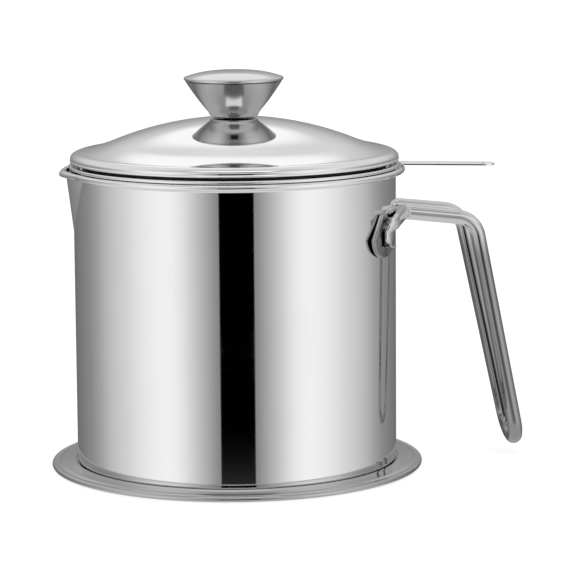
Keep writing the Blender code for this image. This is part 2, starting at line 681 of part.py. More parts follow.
def build_insert(steel):
    """Six-sided threaded insert on the floor inside the knob."""
    low = KNOB_FLOOR_Z + TOUCH_GAP
    bm = turn(ring_section(SCREW_HOLE_RADIUS, INSERT_RADIUS, low, low + INSERT_HEIGHT),
              True, whole_turn(INSERT_FLATS * INSERT_STEPS_A_FLAT))
    for vert in bm.verts:
        radius = math.hypot(vert.co.x, vert.co.y)
        if radius < (SCREW_HOLE_RADIUS + INSERT_RADIUS) / 2:
            continue
        flat_angle = 2 * math.pi / INSERT_FLATS
        off_flat = math.atan2(vert.co.y, vert.co.x) % flat_angle - flat_angle / 2
        shrink = math.cos(flat_angle / 2) / math.cos(off_flat)
        vert.co.x *= shrink
        vert.co.y *= shrink
    return make_object("knob_insert", bm, steel, smooth_angle=FACET_ANGLE)


def build_screw(steel):
    """Pan-head screw from inside the lid up into the knob's insert, with a cross slot."""
    head_top = SCREW_HEAD_Z + SCREW_HEAD_HEIGHT
    tip = KNOB_FLOOR_Z + SCREW_REACH
    fillet = SCREW_HEAD_HEIGHT / 2
    profile = [(0.0, SCREW_HEAD_Z)]
    profile += arc((SCREW_HEAD_RADIUS - fillet, SCREW_HEAD_Z + fillet), fillet, -90.0, 0.0, ARC_STEPS)
    profile += [(SCREW_HEAD_RADIUS, head_top), (SCREW_RADIUS, head_top), (SCREW_RADIUS, tip),
                (0.0, tip)]
    screw = make_object("knob_screw", turn(profile, False, whole_turn(SMALL_FLATS)), steel)
    long = SCREW_SLOT_LENGTH / 2
    short = SCREW_SLOT_WIDTH / 2
    cross = [(long, -short), (long, short), (short, short), (short, long), (-short, long),
             (-short, short), (-long, short), (-long, -short), (-short, -short), (-short, -long),
             (short, -long), (short, -short)]
    slot = extrude_outline(cross, SCREW_HEAD_Z - OVERRUN, OVERRUN + SCREW_SLOT_DEPTH)
    combine(screw, make_object("screw_slot", slot, steel), "DIFFERENCE")
    return screw


def build_washers(steel):
    """Flat washer under the lid, and a split spring washer under it."""
    flat = turn(ring_section(SCREW_HOLE_RADIUS, WASHER_RADIUS, WASHER_Z, WASHER_Z + WASHER_THICKNESS),
                True, whole_turn(SMALL_FLATS))
    washer = make_object("knob_washer", flat, steel)
    bore = SCREW_HOLE_RADIUS
    section = ring_section(bore, SPRING_WASHER_RADIUS, SPRING_WASHER_Z,
                           SPRING_WASHER_Z + SPRING_WASHER_THICKNESS)
    slit = SPRING_WASHER_SLIT / bore
    bm = bmesh.new()
    verts = [bm.verts.new((r, 0.0, z)) for r, z in section]
    first = bm.faces.new(verts)
    spun = bmesh.ops.spin(bm, geom=[first], cent=(0, 0, 0), axis=(0, 0, 1),
                          angle=2 * math.pi - slit, steps=SMALL_FLATS, use_duplicate=False)
    bmesh.ops.remove_doubles(bm, verts=bm.verts, dist=MERGE_DISTANCE)
    return [washer, make_object("knob_spring_washer", bm, steel)]


def build_container():
    clear_scene()
    polished = make_steel("polished_steel", (0.63, 0.63, 0.64), 0.06)
    satin = make_steel("satin_steel", (0.56, 0.56, 0.57), 0.22)
    zinc = make_steel("zinc_steel", (0.45, 0.46, 0.48), 0.35)

    build_tray(polished)

    pot = make_empty("pot_frame", (0.0, 0.0, POT_FOOT_Z))
    pot_pieces = [build_pot(polished), build_handle(polished),
                  build_handle_plate("handle_plate_front", -1, polished),
                  build_handle_plate("handle_plate_rear", 1, polished)]

    strainer = make_empty("strainer_frame", (0.0, 0.0, STRAINER_BEAD_Z))
    strainer_pieces = [build_basket(satin), build_net(satin), build_clamp_ring(satin),
                       build_strip(satin)]

    lid = make_empty("lid_frame", (0.0, 0.0, LID_LIP_Z))
    lid_pieces = [build_lid(polished), build_skirt(satin), build_knob_cone(polished),
                  build_knob_cap(polished), build_insert(zinc), build_screw(zinc)]
    lid_pieces += build_washers(zinc)

    for frame, pieces in ((pot, pot_pieces), (strainer, strainer_pieces), (lid, lid_pieces)):
        for piece in pieces:
            piece.parent = frame
            piece.matrix_parent_inverse = Matrix.Translation(-frame.location)


build_container()
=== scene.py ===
# %% [markdown]
# # A bacon grease container in polished steel
# This lesson builds the looks of a steel pot that keeps bacon grease: a pot with a pouring
# spout and a bent rod for a handle, a strainer that hangs in it, a lid with a knob and a drip
# tray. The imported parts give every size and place. Each piece is modelled again here with
# smooth, finely divided surfaces, because polished steel shows every flat as a kink in what it
# mirrors.

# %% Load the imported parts
import math

import bpy
from mathutils import Matrix, Vector


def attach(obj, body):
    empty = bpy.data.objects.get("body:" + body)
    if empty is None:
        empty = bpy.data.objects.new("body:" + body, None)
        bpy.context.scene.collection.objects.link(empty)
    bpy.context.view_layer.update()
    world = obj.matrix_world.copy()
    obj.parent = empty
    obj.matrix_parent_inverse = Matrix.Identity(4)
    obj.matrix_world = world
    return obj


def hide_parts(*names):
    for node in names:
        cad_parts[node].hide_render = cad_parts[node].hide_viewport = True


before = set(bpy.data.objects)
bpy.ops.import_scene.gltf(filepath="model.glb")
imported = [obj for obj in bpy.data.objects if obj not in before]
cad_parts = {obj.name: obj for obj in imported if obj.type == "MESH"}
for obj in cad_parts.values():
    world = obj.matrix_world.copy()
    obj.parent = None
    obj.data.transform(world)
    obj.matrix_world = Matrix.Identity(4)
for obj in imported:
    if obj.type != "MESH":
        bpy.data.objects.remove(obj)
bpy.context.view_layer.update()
print("packed parts:", ", ".join(sorted(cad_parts)))

# %% [markdown]
# ## Camera
# A long lens a good metre away, a little above the lid, gives the nearly flat ovals of the
# photograph. The camera is described as a photographer would: how far, how high, where it
# turns, how it leans. The pot is turned by 8.5 degrees under it, so the whole set-up is turned
# back by that.

# %% Place the camera
SETUP_TURN = math.radians(-8.5)
CAMERA_DISTANCE = 1.09572
CAMERA_HEIGHT = 0.23480
CAMERA_YAW = math.radians(1.004)
CAMERA_PITCH = math.radians(8.689)
CAMERA_ROLL = math.radians(-0.414)
FOCAL_PIXELS = 2934.63
IMAGE_PIXELS = 573
SENSOR_WIDTH = 36.0

bpy.ops.object.select_all(action="DESELECT")
bpy.ops.object.camera_add()
camera = bpy.context.object
camera.name = "photograph_camera"
camera.data.sensor_width = SENSOR_WIDTH
camera.data.lens = FOCAL_PIXELS / IMAGE_PIXELS * SENSOR_WIDTH
camera.data.clip_end = 100.0

ahead = Vector((math.sin(CAMERA_YAW) * math.cos(CAMERA_PITCH),
                math.cos(CAMERA_YAW) * math.cos(CAMERA_PITCH), -math.sin(CAMERA_PITCH)))
level = Vector((math.cos(CAMERA_YAW), -math.sin(CAMERA_YAW), 0.0))
upward = level.cross(ahead)
right = level * math.cos(CAMERA_ROLL) + upward * math.sin(CAMERA_ROLL)
above = upward * math.cos(CAMERA_ROLL) - level * math.sin(CAMERA_ROLL)
leaning = Matrix((right, above, -ahead)).transposed().to_4x4()
camera.matrix_world = (Matrix.Rotation(SETUP_TURN, 4, "Z")
                       @ Matrix.Translation((0.0, -CAMERA_DISTANCE, CAMERA_HEIGHT)) @ leaning)
bpy.context.scene.camera = camera
bpy.context.scene.view_settings.view_transform = "Standard"
print("camera lens, mm:", round(camera.data.lens, 1))

# %% [markdown]
# ## Building shader nodes
# A material is a small net of nodes. Short helpers keep the cells readable: they add a node with
# its settings, join two sockets, do sums with sockets, and start a node group with named inputs
# and outputs, so that the same effect can sit in several materials with its own values.

# %% Helpers for shader nodes
def add_node(tree, kind, **settings):
    node = tree.nodes.new(kind)
    for name, value in settings.items():
        if name in node.inputs:
            node.inputs[name].default_value = value
        else:
            setattr(node, name, value)
    return node


def join(tree, source, target):
    tree.links.new(source, target)


def calculate(tree, operation, first, second=None):
    """A Math node whose inputs are sockets or plain numbers."""
    node = add_node(tree, "ShaderNodeMath", operation=operation)
    for place, value in enumerate((first, second)):
        if value is None:
            continue
        if isinstance(value, bpy.types.NodeSocket):
            join(tree, value, node.inputs[place])
        else:
            node.inputs[place].default_value = value
    return node.outputs[0]


def hypotenuse(tree, first, second):
    """How far two steps at a right angle lead together."""
    squares = [calculate(tree, "MULTIPLY", side, side) for side in (first, second)]
    return calculate(tree, "SQRT", calculate(tree, "ADD", *squares))


def opposite(tree, mask):
    """1 where the mask is 0, and 0 where it is 1."""
    return calculate(tree, "SUBTRACT", 1.0, mask)


def remap(tree, value, low, high, new_low=0.0, new_high=1.0, kind="LINEAR"):
    """What lies between low and high comes to lie between new_low and new_high."""
    node = add_node(tree, "ShaderNodeMapRange", interpolation_type=kind)
    join(tree, value, node.inputs["Value"])
    for name, number in (("From Min", low), ("From Max", high), ("To Min", new_low),
                         ("To Max", new_high)):
        node.inputs[name].default_value = number
    return node.outputs["Result"]


def start_group(name, inputs, outputs):
    """A node group, the sockets that it is given and the sockets that it has to fill.

    Inputs are (name, kind, value) and outputs are (name, kind).
    """
    group = bpy.data.node_groups.new(name, "ShaderNodeTree")
    for label, kind, value in inputs:
        socket = group.interface.new_socket(label, in_out="INPUT", socket_type=kind)
        if value is not None:
            socket.default_value = value
    for label, kind in outputs:
        group.interface.new_socket(label, in_out="OUTPUT", socket_type=kind)
    given = group.nodes.new("NodeGroupInput").outputs
    made = group.nodes.new("NodeGroupOutput").inputs
    return group, given, made


def ramp(tree, value, stops):
    """A colour ramp in greys: stops are (place, grey)."""
    node = add_node(tree, "ShaderNodeValToRGB")
    elements = node.color_ramp.elements
    while len(elements) < len(stops):
        elements.new(1.0)
    for element, (place, grey) in zip(elements, stops):
        element.position = place
        element.color = (grey, grey, grey, 1.0)
    join(tree, value, node.inputs["Fac"])
    return node.outputs["Color"]


print("shader helpers ready")

# %% [markdown]
# ## The studio
# Polished steel has hardly any colour of its own: what one sees is the room. The photograph was
# taken in a white tent with a black strip behind the camera. There is light to both sides, and
# less of it behind the pot, but for one round light there. A lamp and a dark panel hang
# overhead. So the room is built as a big globe that glows with those tones by direction. The
# camera itself looks straight through it at plain white.

# %% Tones of the tent
# Brightness round the tent at table height, by degrees away from the camera.
AROUND = ((0.0, 0.25), (12.0, 0.26), (15.0, 0.31), (19.0, 0.40), (26.0, 0.56), (32.0, 0.71),
          (39.0, 0.89), (46.0, 1.00), (53.0, 1.02), (60.0, 0.99), (68.0, 0.93), (76.0, 0.85),
          (85.0, 0.74), (94.0, 0.66), (104.0, 0.55), (115.0, 0.40), (128.0, 0.285),
          (146.0, 0.215), (165.0, 0.16), (180.0, 0.14))
# Brightness behind the pot, by degrees above the horizon.
BEHIND = ((-90.0, 0.25), (-5.0, 0.25), (5.0, 0.34), (10.0, 0.39), (14.0, 0.47), (18.0, 0.57),
          (22.0, 0.65), (26.0, 0.71), (30.0, 0.75), (46.0, 0.78), (50.0, 0.82), (57.0, 0.80),
          (63.0, 0.80), (72.0, 0.72), (90.0, 0.55))
# Brightness above the camera, by degrees above the horizon.
BEFORE = ((-90.0, 0.40), (10.0, 0.40), (18.0, 0.60), (24.0, 0.98), (32.0, 0.98), (42.0, 0.76),
          (55.0, 0.58), (90.0, 0.52))
# Degrees over which one tone passes into the next.
RING_TO_FRONT = (12.0, 26.0)
FRONT_TO_BACK = (60.0, 115.0)
RING_TO_UPPER = (-6.5, 4.0)
TABLE_TO_RING = (-42.0, -13.5)
TABLE_TONE = 0.75
# The round light behind: its height, and how far from its middle it starts to fade and ends.
GLOW_HEIGHT = 35.0
GLOW_EDGE = (9.0, 15.5)
GLOW_TONE = 1.07
# The black strip: half its width, its top and its foot, each with the softness of that edge.
STRIP_SIDE_EDGE = (12.15, 0.15)
STRIP_TOP_EDGE = (13.0, 2.0)
STRIP_FOOT_EDGE = (-20.0, 5.0)
# Overhead, for a height of 1: half the width, the far end, the near end, how soft the edges are,
# and the tone.
PANEL = (0.50, 0.52, 1.45, 0.09, 0.20)
LAMP = (0.36, 0.22, 0.52, 0.05, 1.55)
LEAST_HEIGHT = 0.01
print("tones:", len(AROUND), len(BEHIND), len(BEFORE))


# %% Helpers for the tent
def step_over(tree, value, low, high):
    """0 below one number and 1 above another, with a soft step between."""
    return remap(tree, value, low, high, kind="SMOOTHSTEP")


def rise_over(tree, value, low, high):
    """The same step between two angles in degrees."""
    return step_over(tree, value, math.radians(low), math.radians(high))


def blend(tree, share, first, second):
    """Colour mix: sockets or greys."""
    node = add_node(tree, "ShaderNodeMix", data_type="RGBA")
    join(tree, share, node.inputs["Factor"])
    for name, value in (("A", first), ("B", second)):
        if isinstance(value, bpy.types.NodeSocket):
            join(tree, value, node.inputs[name])
        else:
            node.inputs[name].default_value = (value, value, value, 1.0)
    return node.outputs["Result"]


def tone_by_angle(tree, share, tones, first, last):
    """A ramp whose stops are given in degrees between a first and a last angle."""
    return ramp(tree, share, [((angle - first) / (last - first), grey) for angle, grey in tones])


print("tent helpers ready")

# %% A globe around the pot
TENT_RADIUS = 4.0
TENT_TURN = SETUP_TURN + math.radians(0.86)

bpy.ops.object.select_all(action="DESELECT")
bpy.ops.mesh.primitive_ico_sphere_add(subdivisions=5, radius=TENT_RADIUS,
                                      rotation=(0.0, 0.0, TENT_TURN))
tent = bpy.context.object
tent.name = "light_tent"
tent.visible_camera = False
tent.visible_shadow = False
print("tent faces:", len(tent.data.polygons))

# %% Directions in the tent
glow = bpy.data.materials.new("tent_glow")
glow.use_nodes = True
glow.cycles.emission_sampling = "NONE"
tree = glow.node_tree
tree.nodes.clear()
place = add_node(tree, "ShaderNodeTexCoord")
split = add_node(tree, "ShaderNodeSeparateXYZ")
join(tree, place.outputs["Object"], split.inputs[0])
x, y, z = (split.outputs[axis] for axis in "XYZ")
sideways = calculate(tree, "ABSOLUTE", x)
nearer = calculate(tree, "MULTIPLY", y, -1.0)
swing = calculate(tree, "ARCTAN2", sideways, nearer)
raised = calculate(tree, "ARCTAN2", z, hypotenuse(tree, x, y))
around = remap(tree, swing, 0.0, math.pi)
height = remap(tree, raised, -math.pi / 2, math.pi / 2)
print("directions ready")

# %% Tones by direction
low_ring = tone_by_angle(tree, around, AROUND, 0.0, 180.0)
back = tone_by_angle(tree, height, BEHIND, -90.0, 90.0)
aside = calculate(tree, "SUBTRACT", math.pi, swing)
aloft = calculate(tree, "SUBTRACT", raised, math.radians(GLOW_HEIGHT))
beyond_glow = rise_over(tree, hypotenuse(tree, aside, aloft), *GLOW_EDGE)
back = blend(tree, beyond_glow, GLOW_TONE, back)
front = blend(tree, rise_over(tree, raised, *RING_TO_FRONT), low_ring,
              tone_by_angle(tree, height, BEFORE, -90.0, 90.0))
upper = blend(tree, rise_over(tree, swing, *FRONT_TO_BACK), front, back)
print("tones by direction ready")

# %% Panel and lamp overhead, and the black strip
overhead = calculate(tree, "MAXIMUM", z, LEAST_HEIGHT)
wide = calculate(tree, "DIVIDE", sideways, overhead)
deep = calculate(tree, "DIVIDE", nearer, overhead)
for half_width, far, near, soft, tone in (PANEL, LAMP):
    inside = opposite(tree, step_over(tree, wide, half_width - soft, half_width + soft))
    inside = calculate(tree, "MULTIPLY", inside, step_over(tree, deep, far - soft, far + soft))
    inside = calculate(tree, "MULTIPLY", inside,
                       opposite(tree, step_over(tree, deep, near - soft, near + soft)))
    upper = blend(tree, inside, upper, tone)
whole = blend(tree, rise_over(tree, raised, *RING_TO_UPPER), low_ring, upper)
beside_strip, above_strip, above_foot = (
    rise_over(tree, angle, middle - soft, middle + soft)
    for angle, (middle, soft) in ((swing, STRIP_SIDE_EDGE), (raised, STRIP_TOP_EDGE),
                                  (raised, STRIP_FOOT_EDGE)))
off_strip = calculate(tree, "MAXIMUM", beside_strip,
                      calculate(tree, "MAXIMUM", above_strip, opposite(tree, above_foot)))
whole = blend(tree, off_strip, 0.0, whole)
whole = blend(tree, rise_over(tree, raised, *TABLE_TO_RING), TABLE_TONE, whole)
emission = add_node(tree, "ShaderNodeEmission")
join(tree, whole, emission.inputs["Color"])
output = add_node(tree, "ShaderNodeOutputMaterial")
join(tree, emission.outputs[0], output.inputs["Surface"])
tent.data.materials.append(glow)
print("tent nodes:", len(tree.nodes))

# %% [markdown]
# ## Floor and backdrop
# The floor is a white sheet that runs off into a white room. Part of its white is its own, so
# that it stays as white as the paper of the photograph, and part is light that falls on it, so
# that the tray still leaves a soft shadow. The steel doesn't mirror it: on the photograph the
# bands of the tent run down to the tray without a horizon.

# %% White floor and white room
FLOOR_SIZE = 12.0
FLOOR_LEVEL = -0.0002
PAPER_GREY = 0.55
PAPER_GLOW = 0.70

bpy.ops.mesh.primitive_plane_add(size=FLOOR_SIZE, location=(0.0, 0.0, FLOOR_LEVEL))
floor = bpy.context.object
floor.name = "white_floor"
floor.visible_glossy = False
paper = bpy.data.materials.new("white_paper")
paper.use_nodes = True
tree = paper.node_tree
tree.nodes.clear()
lit = add_node(tree, "ShaderNodeBsdfDiffuse", Color=(PAPER_GREY, PAPER_GREY, PAPER_GREY, 1.0))
own = add_node(tree, "ShaderNodeEmission", Color=(1.0, 1.0, 1.0, 1.0))
seen = add_node(tree, "ShaderNodeLightPath")
join(tree, calculate(tree, "MULTIPLY", seen.outputs["Is Camera Ray"], PAPER_GLOW),
     own.inputs["Strength"])
both = add_node(tree, "ShaderNodeAddShader")
join(tree, lit.outputs[0], both.inputs[0])
join(tree, own.outputs[0], both.inputs[1])
output = add_node(tree, "ShaderNodeOutputMaterial")
join(tree, both.outputs[0], output.inputs["Surface"])
floor.data.materials.append(paper)

world = bpy.data.worlds.new("white_room")
bpy.context.scene.world = world
world.use_nodes = True
walls = world.node_tree.nodes["Background"]
walls.inputs["Color"].default_value = (1.0, 1.0, 1.0, 1.0)
walls.inputs["Strength"].default_value = 1.0
print("floor and room ready")

# %% [markdown]
# ## Steel finishes
# The pot, the lid and the strainer's basket are mirror-polished: they were held against a wheel,
# which leaves lines too fine to see but enough to soften what they mirror, and hands leave faint
# greasy films. The knob's cone is turned a little less fine, and its cap is buffed. The plates
# are pressed from duller sheet. The rod is drawn bright, and its grip is painted darker, as
# painted shade for the dark surroundings that it mirrors. The tray's steel has a darker tone than
# the pot's. The net, its ring and the strip are satin, but the strip's edges are sharper. The ring
# inside the lid is painted near black, as painted shade for the dark gap under the lid's lip, and
# the screw, washers and insert are dull zinc. Lines, films, scratches and rubbed rims are node
# groups, since all the finishes use them with other values.

# %% Helper for noise
def noise(tree, vector, scale, **settings):
    """Noise along a vector, with its scale from a socket."""
    node = add_node(tree, "ShaderNodeTexNoise", **settings)
    join(tree, vector, node.inputs["Vector"])
    join(tree, scale, node.inputs["Scale"])
    return node.outputs["Fac"]


print("noise helper ready")

# %% Group: lines left by the polishing wheel
LINES_ROUND = 1.5
LINE_EDGES = (0.35, 0.7)

wheel, given, made = start_group(
    "Wheel lines",
    [("Vector", "NodeSocketVector", None), ("Lines per metre", "NodeSocketFloat", 2500.0)],
    [("Height", "NodeSocketFloat"), ("Mask", "NodeSocketFloat")])
split = add_node(wheel, "ShaderNodeSeparateXYZ")
join(wheel, given["Vector"], split.inputs[0])
x, y, z = (split.outputs[axis] for axis in "XYZ")
reach = hypotenuse(wheel, x, y)
bend = calculate(wheel, "ARCTAN2", y, x)
pack = add_node(wheel, "ShaderNodeCombineXYZ")
join(wheel, calculate(wheel, "MULTIPLY", reach, given["Lines per metre"]), pack.inputs["X"])
join(wheel, calculate(wheel, "MULTIPLY", bend, LINES_ROUND), pack.inputs["Y"])
join(wheel, calculate(wheel, "MULTIPLY", z, given["Lines per metre"]), pack.inputs["Z"])
lines = add_node(wheel, "ShaderNodeTexNoise", Scale=1.0, Detail=3.0, Roughness=0.6)
join(wheel, pack.outputs[0], lines.inputs["Vector"])
join(wheel, lines.outputs["Fac"], made["Height"])
join(wheel, remap(wheel, lines.outputs["Fac"], *LINE_EDGES), made["Mask"])
print("wheel lines ready")

# %% Group: films left by hands and washing
PATCH_EDGES = (0.48, 0.72)
GRAIN_EDGES = (0.35, 0.75)
GRAIN_LEAST = 0.4
GRAINS_IN_PATCH = 14.0

film, given, made = start_group(
    "Greasy film",
    [("Vector", "NodeSocketVector", None), ("Scale", "NodeSocketFloat", 28.0)],
    [("Mask", "NodeSocketFloat")])
broad = noise(film, given["Vector"], given["Scale"], Detail=4.0, Roughness=0.55, Distortion=0.6)
fine = noise(film, given["Vector"], calculate(film, "MULTIPLY", given["Scale"], GRAINS_IN_PATCH),
             Detail=6.0, Roughness=0.7)
patches = remap(film, broad, *PATCH_EDGES)
grains = remap(film, fine, *GRAIN_EDGES, GRAIN_LEAST)
join(film, calculate(film, "MULTIPLY", patches, grains), made["Mask"])
print("greasy film ready")

# %% Group: fine scratches
# Which way each set of scratches runs, and how long they are for their width.
SCRATCH_SETS = ((0.5, 26.0), (-0.9, 34.0), (1.9, 22.0))
SCRATCH_EDGES = (0.70, 0.78)

scuff, given, made = start_group(
    "Fine scratches",
    [("Vector", "NodeSocketVector", None), ("Scale", "NodeSocketFloat", 90.0)],
    [("Mask", "NodeSocketFloat")])
marks = []
for tilt, stretch in SCRATCH_SETS:
    turn = add_node(scuff, "ShaderNodeMapping")
    turn.inputs["Rotation"].default_value = (tilt, tilt * 0.6, tilt * 1.7)
    turn.inputs["Scale"].default_value = (1.0, stretch, stretch)
    join(scuff, given["Vector"], turn.inputs["Vector"])
    streaks = noise(scuff, turn.outputs["Vector"], given["Scale"], Detail=2.0, Roughness=0.5)
    marks.append(remap(scuff, streaks, *SCRATCH_EDGES))
deepest = calculate(scuff, "MAXIMUM", marks[0], calculate(scuff, "MAXIMUM", marks[1], marks[2]))
join(scuff, deepest, made["Mask"])
print("fine scratches ready")

# %% Group: rims rubbed dull
RIDGE_EDGES = (0.52, 0.60)
RUB_EDGES = (0.4, 0.65)

wear, given, made = start_group(
    "Rubbed rims",
    [("Vector", "NodeSocketVector", None), ("Scale", "NodeSocketFloat", 160.0)],
    [("Mask", "NodeSocketFloat")])
shape = add_node(wear, "ShaderNodeNewGeometry")
ridge = remap(wear, shape.outputs["Pointiness"], *RIDGE_EDGES)
rub = remap(wear, noise(wear, given["Vector"], given["Scale"], Detail=3.0), *RUB_EDGES)
join(wear, calculate(wear, "MULTIPLY", ridge, rub), made["Mask"])
print("rubbed rims ready")


# %% Values of the finishes
# Clean tone and tone under a film, roughness clean and under a film, how deep the wheel's lines
# are in metres, and how many of them go on a metre.
FINISHES = {
    "polished_steel": ((0.86, 0.86, 0.865), (0.83, 0.83, 0.835), 0.035, 0.075, 4e-7, 2500.0),
    "turned_steel": ((0.51, 0.51, 0.515), (0.47, 0.47, 0.475), 0.10, 0.15, 3e-7, 5000.0),
    "buffed_steel": ((0.64, 0.64, 0.645), (0.60, 0.60, 0.605), 0.06, 0.10, 3e-7, 5000.0),
    "pressed_steel": ((0.36, 0.36, 0.365), (0.32, 0.32, 0.325), 0.08, 0.13, 3e-7, 3500.0),
    "drawn_steel": ((0.70, 0.70, 0.705), (0.64, 0.64, 0.645), 0.03, 0.07, 3e-7, 3500.0),
    # The tray's steel has a darker tone than the pot's.
    "darker_tray_steel": ((0.50, 0.50, 0.505), (0.44, 0.44, 0.445), 0.045, 0.08, 4e-7, 2400.0),
    "satin_steel": ((0.95, 0.95, 0.955), (0.91, 0.91, 0.915), 0.36, 0.44, 8e-7, 2600.0),
    "strip_steel": ((0.95, 0.95, 0.955), (0.91, 0.91, 0.915), 0.36, 0.44, 8e-7, 2600.0),
    # Painted shade: the near-black ring stands for the dark shadow gap under the lid's lip.
    "gap_shade_steel": ((0.10, 0.10, 0.10), (0.06, 0.06, 0.06), 0.45, 0.60, 1e-6, 2600.0),
    "zinc_steel": ((0.56, 0.57, 0.59), (0.47, 0.48, 0.51), 0.32, 0.42, 2e-6, 1500.0),
}
LINE_ROUGHNESS = 0.4
SCRATCH_ROUGHNESS = 0.5
print("kinds of steel:", len(FINISHES))


# %% Make a steel finish from the groups
def make_steel(name):
    """A steel by its name in the table."""
    light, dark, roughness, film_roughness, line_depth, lines_per_metre = FINISHES[name]
    material = bpy.data.materials.new(name)
    material.use_nodes = True
    tree = material.node_tree
    shader = tree.nodes["Principled BSDF"]
    shader.inputs["Metallic"].default_value = 1.0
    place = add_node(tree, "ShaderNodeTexCoord")
    effects = {}
    for label, group in (("lines", wheel), ("smear", film), ("scratches", scuff), ("rims", wear)):
        effects[label] = add_node(tree, "ShaderNodeGroup", node_tree=group)
        join(tree, place.outputs["Object"], effects[label].inputs["Vector"])
    effects["lines"].inputs["Lines per metre"].default_value = lines_per_metre
    scratches = effects["scratches"].outputs["Mask"]
    dull = calculate(tree, "MAXIMUM", effects["smear"].outputs["Mask"],
                     effects["rims"].outputs["Mask"])
    tone = add_node(tree, "ShaderNodeMix", data_type="RGBA")
    tone.inputs["A"].default_value = (*light, 1.0)
    tone.inputs["B"].default_value = (*dark, 1.0)
    join(tree, dull, tone.inputs["Factor"])
    join(tree, tone.outputs["Result"], shader.inputs["Base Color"])
    rough = remap(tree, dull, 0.0, 1.0, roughness, film_roughness)
    for mask, share in ((effects["lines"].outputs["Mask"], roughness * LINE_ROUGHNESS),
                        (scratches, film_roughness * SCRATCH_ROUGHNESS)):
        rough = calculate(tree, "ADD", rough, calculate(tree, "MULTIPLY", mask, share))
    join(tree, rough, shader.inputs["Roughness"])
    bump = add_node(tree, "ShaderNodeBump", Strength=1.0, Distance=line_depth)
    join(tree, calculate(tree, "SUBTRACT", effects["lines"].outputs["Height"], scratches),
         bump.inputs["Height"])
    join(tree, bump.outputs["Normal"], shader.inputs["Normal"])
    return material


polished = make_steel("polished_steel")
turned = make_steel("turned_steel")
buffed = make_steel("buffed_steel")
pressed = make_steel("pressed_steel")
drawn = make_steel("drawn_steel")
darker_tray = make_steel("darker_tray_steel")
satin = make_steel("satin_steel")
gap_shade = make_steel("gap_shade_steel")
zinc = make_steel("zinc_steel")
print("finishes:", ", ".join(sorted(name for name in bpy.data.materials.keys() if "steel" in name)))

# %% Paint shade on the grip of the rod
# Painted shade: the grip is painted darker than the arms, for the dark surroundings that its
# upright legs mirror. The arms start at this height in metres.
GRIP_SHADE_TONE = 0.34
GRIP_SHADE_EDGES = (0.076, 0.091)

tree = drawn.node_tree
shader = tree.nodes["Principled BSDF"]
place = add_node(tree, "ShaderNodeTexCoord")
split = add_node(tree, "ShaderNodeSeparateXYZ")
join(tree, place.outputs["Object"], split.inputs[0])
bright = shader.inputs["Base Color"].links[0].from_socket
join(tree, blend(tree, step_over(tree, split.outputs["Z"], *GRIP_SHADE_EDGES), GRIP_SHADE_TONE, bright),
     shader.inputs["Base Color"])
print("grip darkened")

# %% [markdown]
# ## Turning a section
# Nearly everything here was spun or pressed round, so most pieces are made the same way. One
# corner of a plane is kept and extruded along the section, in millimetres out and up, and the
# section is then spun about the upright axis. Spinning gives evenly spaced rings, which is what
# a mirror finish needs, and a section is quick to change.

# %% Helpers for turned pieces
MM = 0.001
WELD = 0.002 * MM
ROUND_STEPS = 160


def draw_line(name, points):
    """Extrude one corner through points (x, y, z) in millimetres."""
    bpy.ops.object.select_all(action="DESELECT")
    bpy.ops.mesh.primitive_plane_add(size=MM)
    piece = bpy.context.object
    piece.name = piece.data.name = name
    bpy.ops.object.mode_set(mode="EDIT")
    bpy.ops.mesh.merge(type="CENTER")
    bpy.ops.transform.translate(value=Vector(points[0]) * MM)
    for before, after in zip(points, points[1:]):
        step = (Vector(after) - Vector(before)) * MM
        bpy.ops.mesh.extrude_region_move(TRANSFORM_OT_translate={"value": step})
    return piece


def spin_round(piece, steps):
    """Spin the whole section about the upright axis and close it."""
    bpy.ops.mesh.select_all(action="SELECT")
    bpy.ops.mesh.spin(steps=steps, angle=2 * math.pi, center=(0, 0, 0), axis=(0, 0, 1))
    bpy.ops.mesh.select_all(action="SELECT")
    bpy.ops.mesh.remove_doubles(threshold=WELD)
    bpy.ops.mesh.normals_make_consistent(inside=False)
    bpy.ops.object.mode_set(mode="OBJECT")


def smooth(piece, angle=35.0):
    bpy.ops.object.select_all(action="DESELECT")
    piece.select_set(True)
    bpy.context.view_layer.objects.active = piece
    bpy.ops.object.shade_smooth_by_angle(angle=math.radians(angle))


def turned_piece(name, section, closed=True, steps=ROUND_STEPS, angle=35.0):
    """A piece from its section of (out, up) points in millimetres."""
    points = [(out, 0.0, up) for out, up in section]
    piece = draw_line(name, points + points[:1] if closed else points)
    spin_round(piece, steps)
    smooth(piece, angle)
    return piece


def curve(centre, radius, start, end, steps):
    """Points on an arc, from one angle to another in degrees."""
    angles = [math.radians(start + (end - start) * step / steps) for step in range(steps + 1)]
    return [(centre[0] + radius * math.cos(a), centre[1] + radius * math.sin(a)) for a in angles]


def beside(path, distance):
    """The same path, set off to its left, which gives a sheet its other face."""
    moved = []
    for index, point in enumerate(path):
        here = Vector(point)
        back = here - Vector(path[index - 1]) if index else Vector(path[1]) - here
        on = Vector(path[index + 1]) - here if index < len(path) - 1 else back
        first = Vector((-back.y, back.x)).normalized()
        second = Vector((-on.y, on.x)).normalized()
        middle = (first + second).normalized()
        moved.append(tuple(here + middle * (distance / max(middle.dot(first), 0.5))))
    return moved


def fit(piece, body, node, material):
    """Put the finish on a piece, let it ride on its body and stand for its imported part."""
    piece.data.materials.clear()
    piece.data.materials.append(material)
    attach(piece, body)
    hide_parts(node)
    print(piece.name, "faces:", len(piece.data.polygons))


print("modelling helpers ready")

# %% [markdown]
# ## Drip tray
# The tray is one pressed sheet: a flat pan in the middle, a raised shelf that the pot stands on,
# a low rise round the pot that keeps it there, and an edge that is rolled under so that it
# doesn't cut. Its whole section, upper face, rolled edge and under face, is drawn as one line
# and spun. All sizes of pieces are in millimetres.

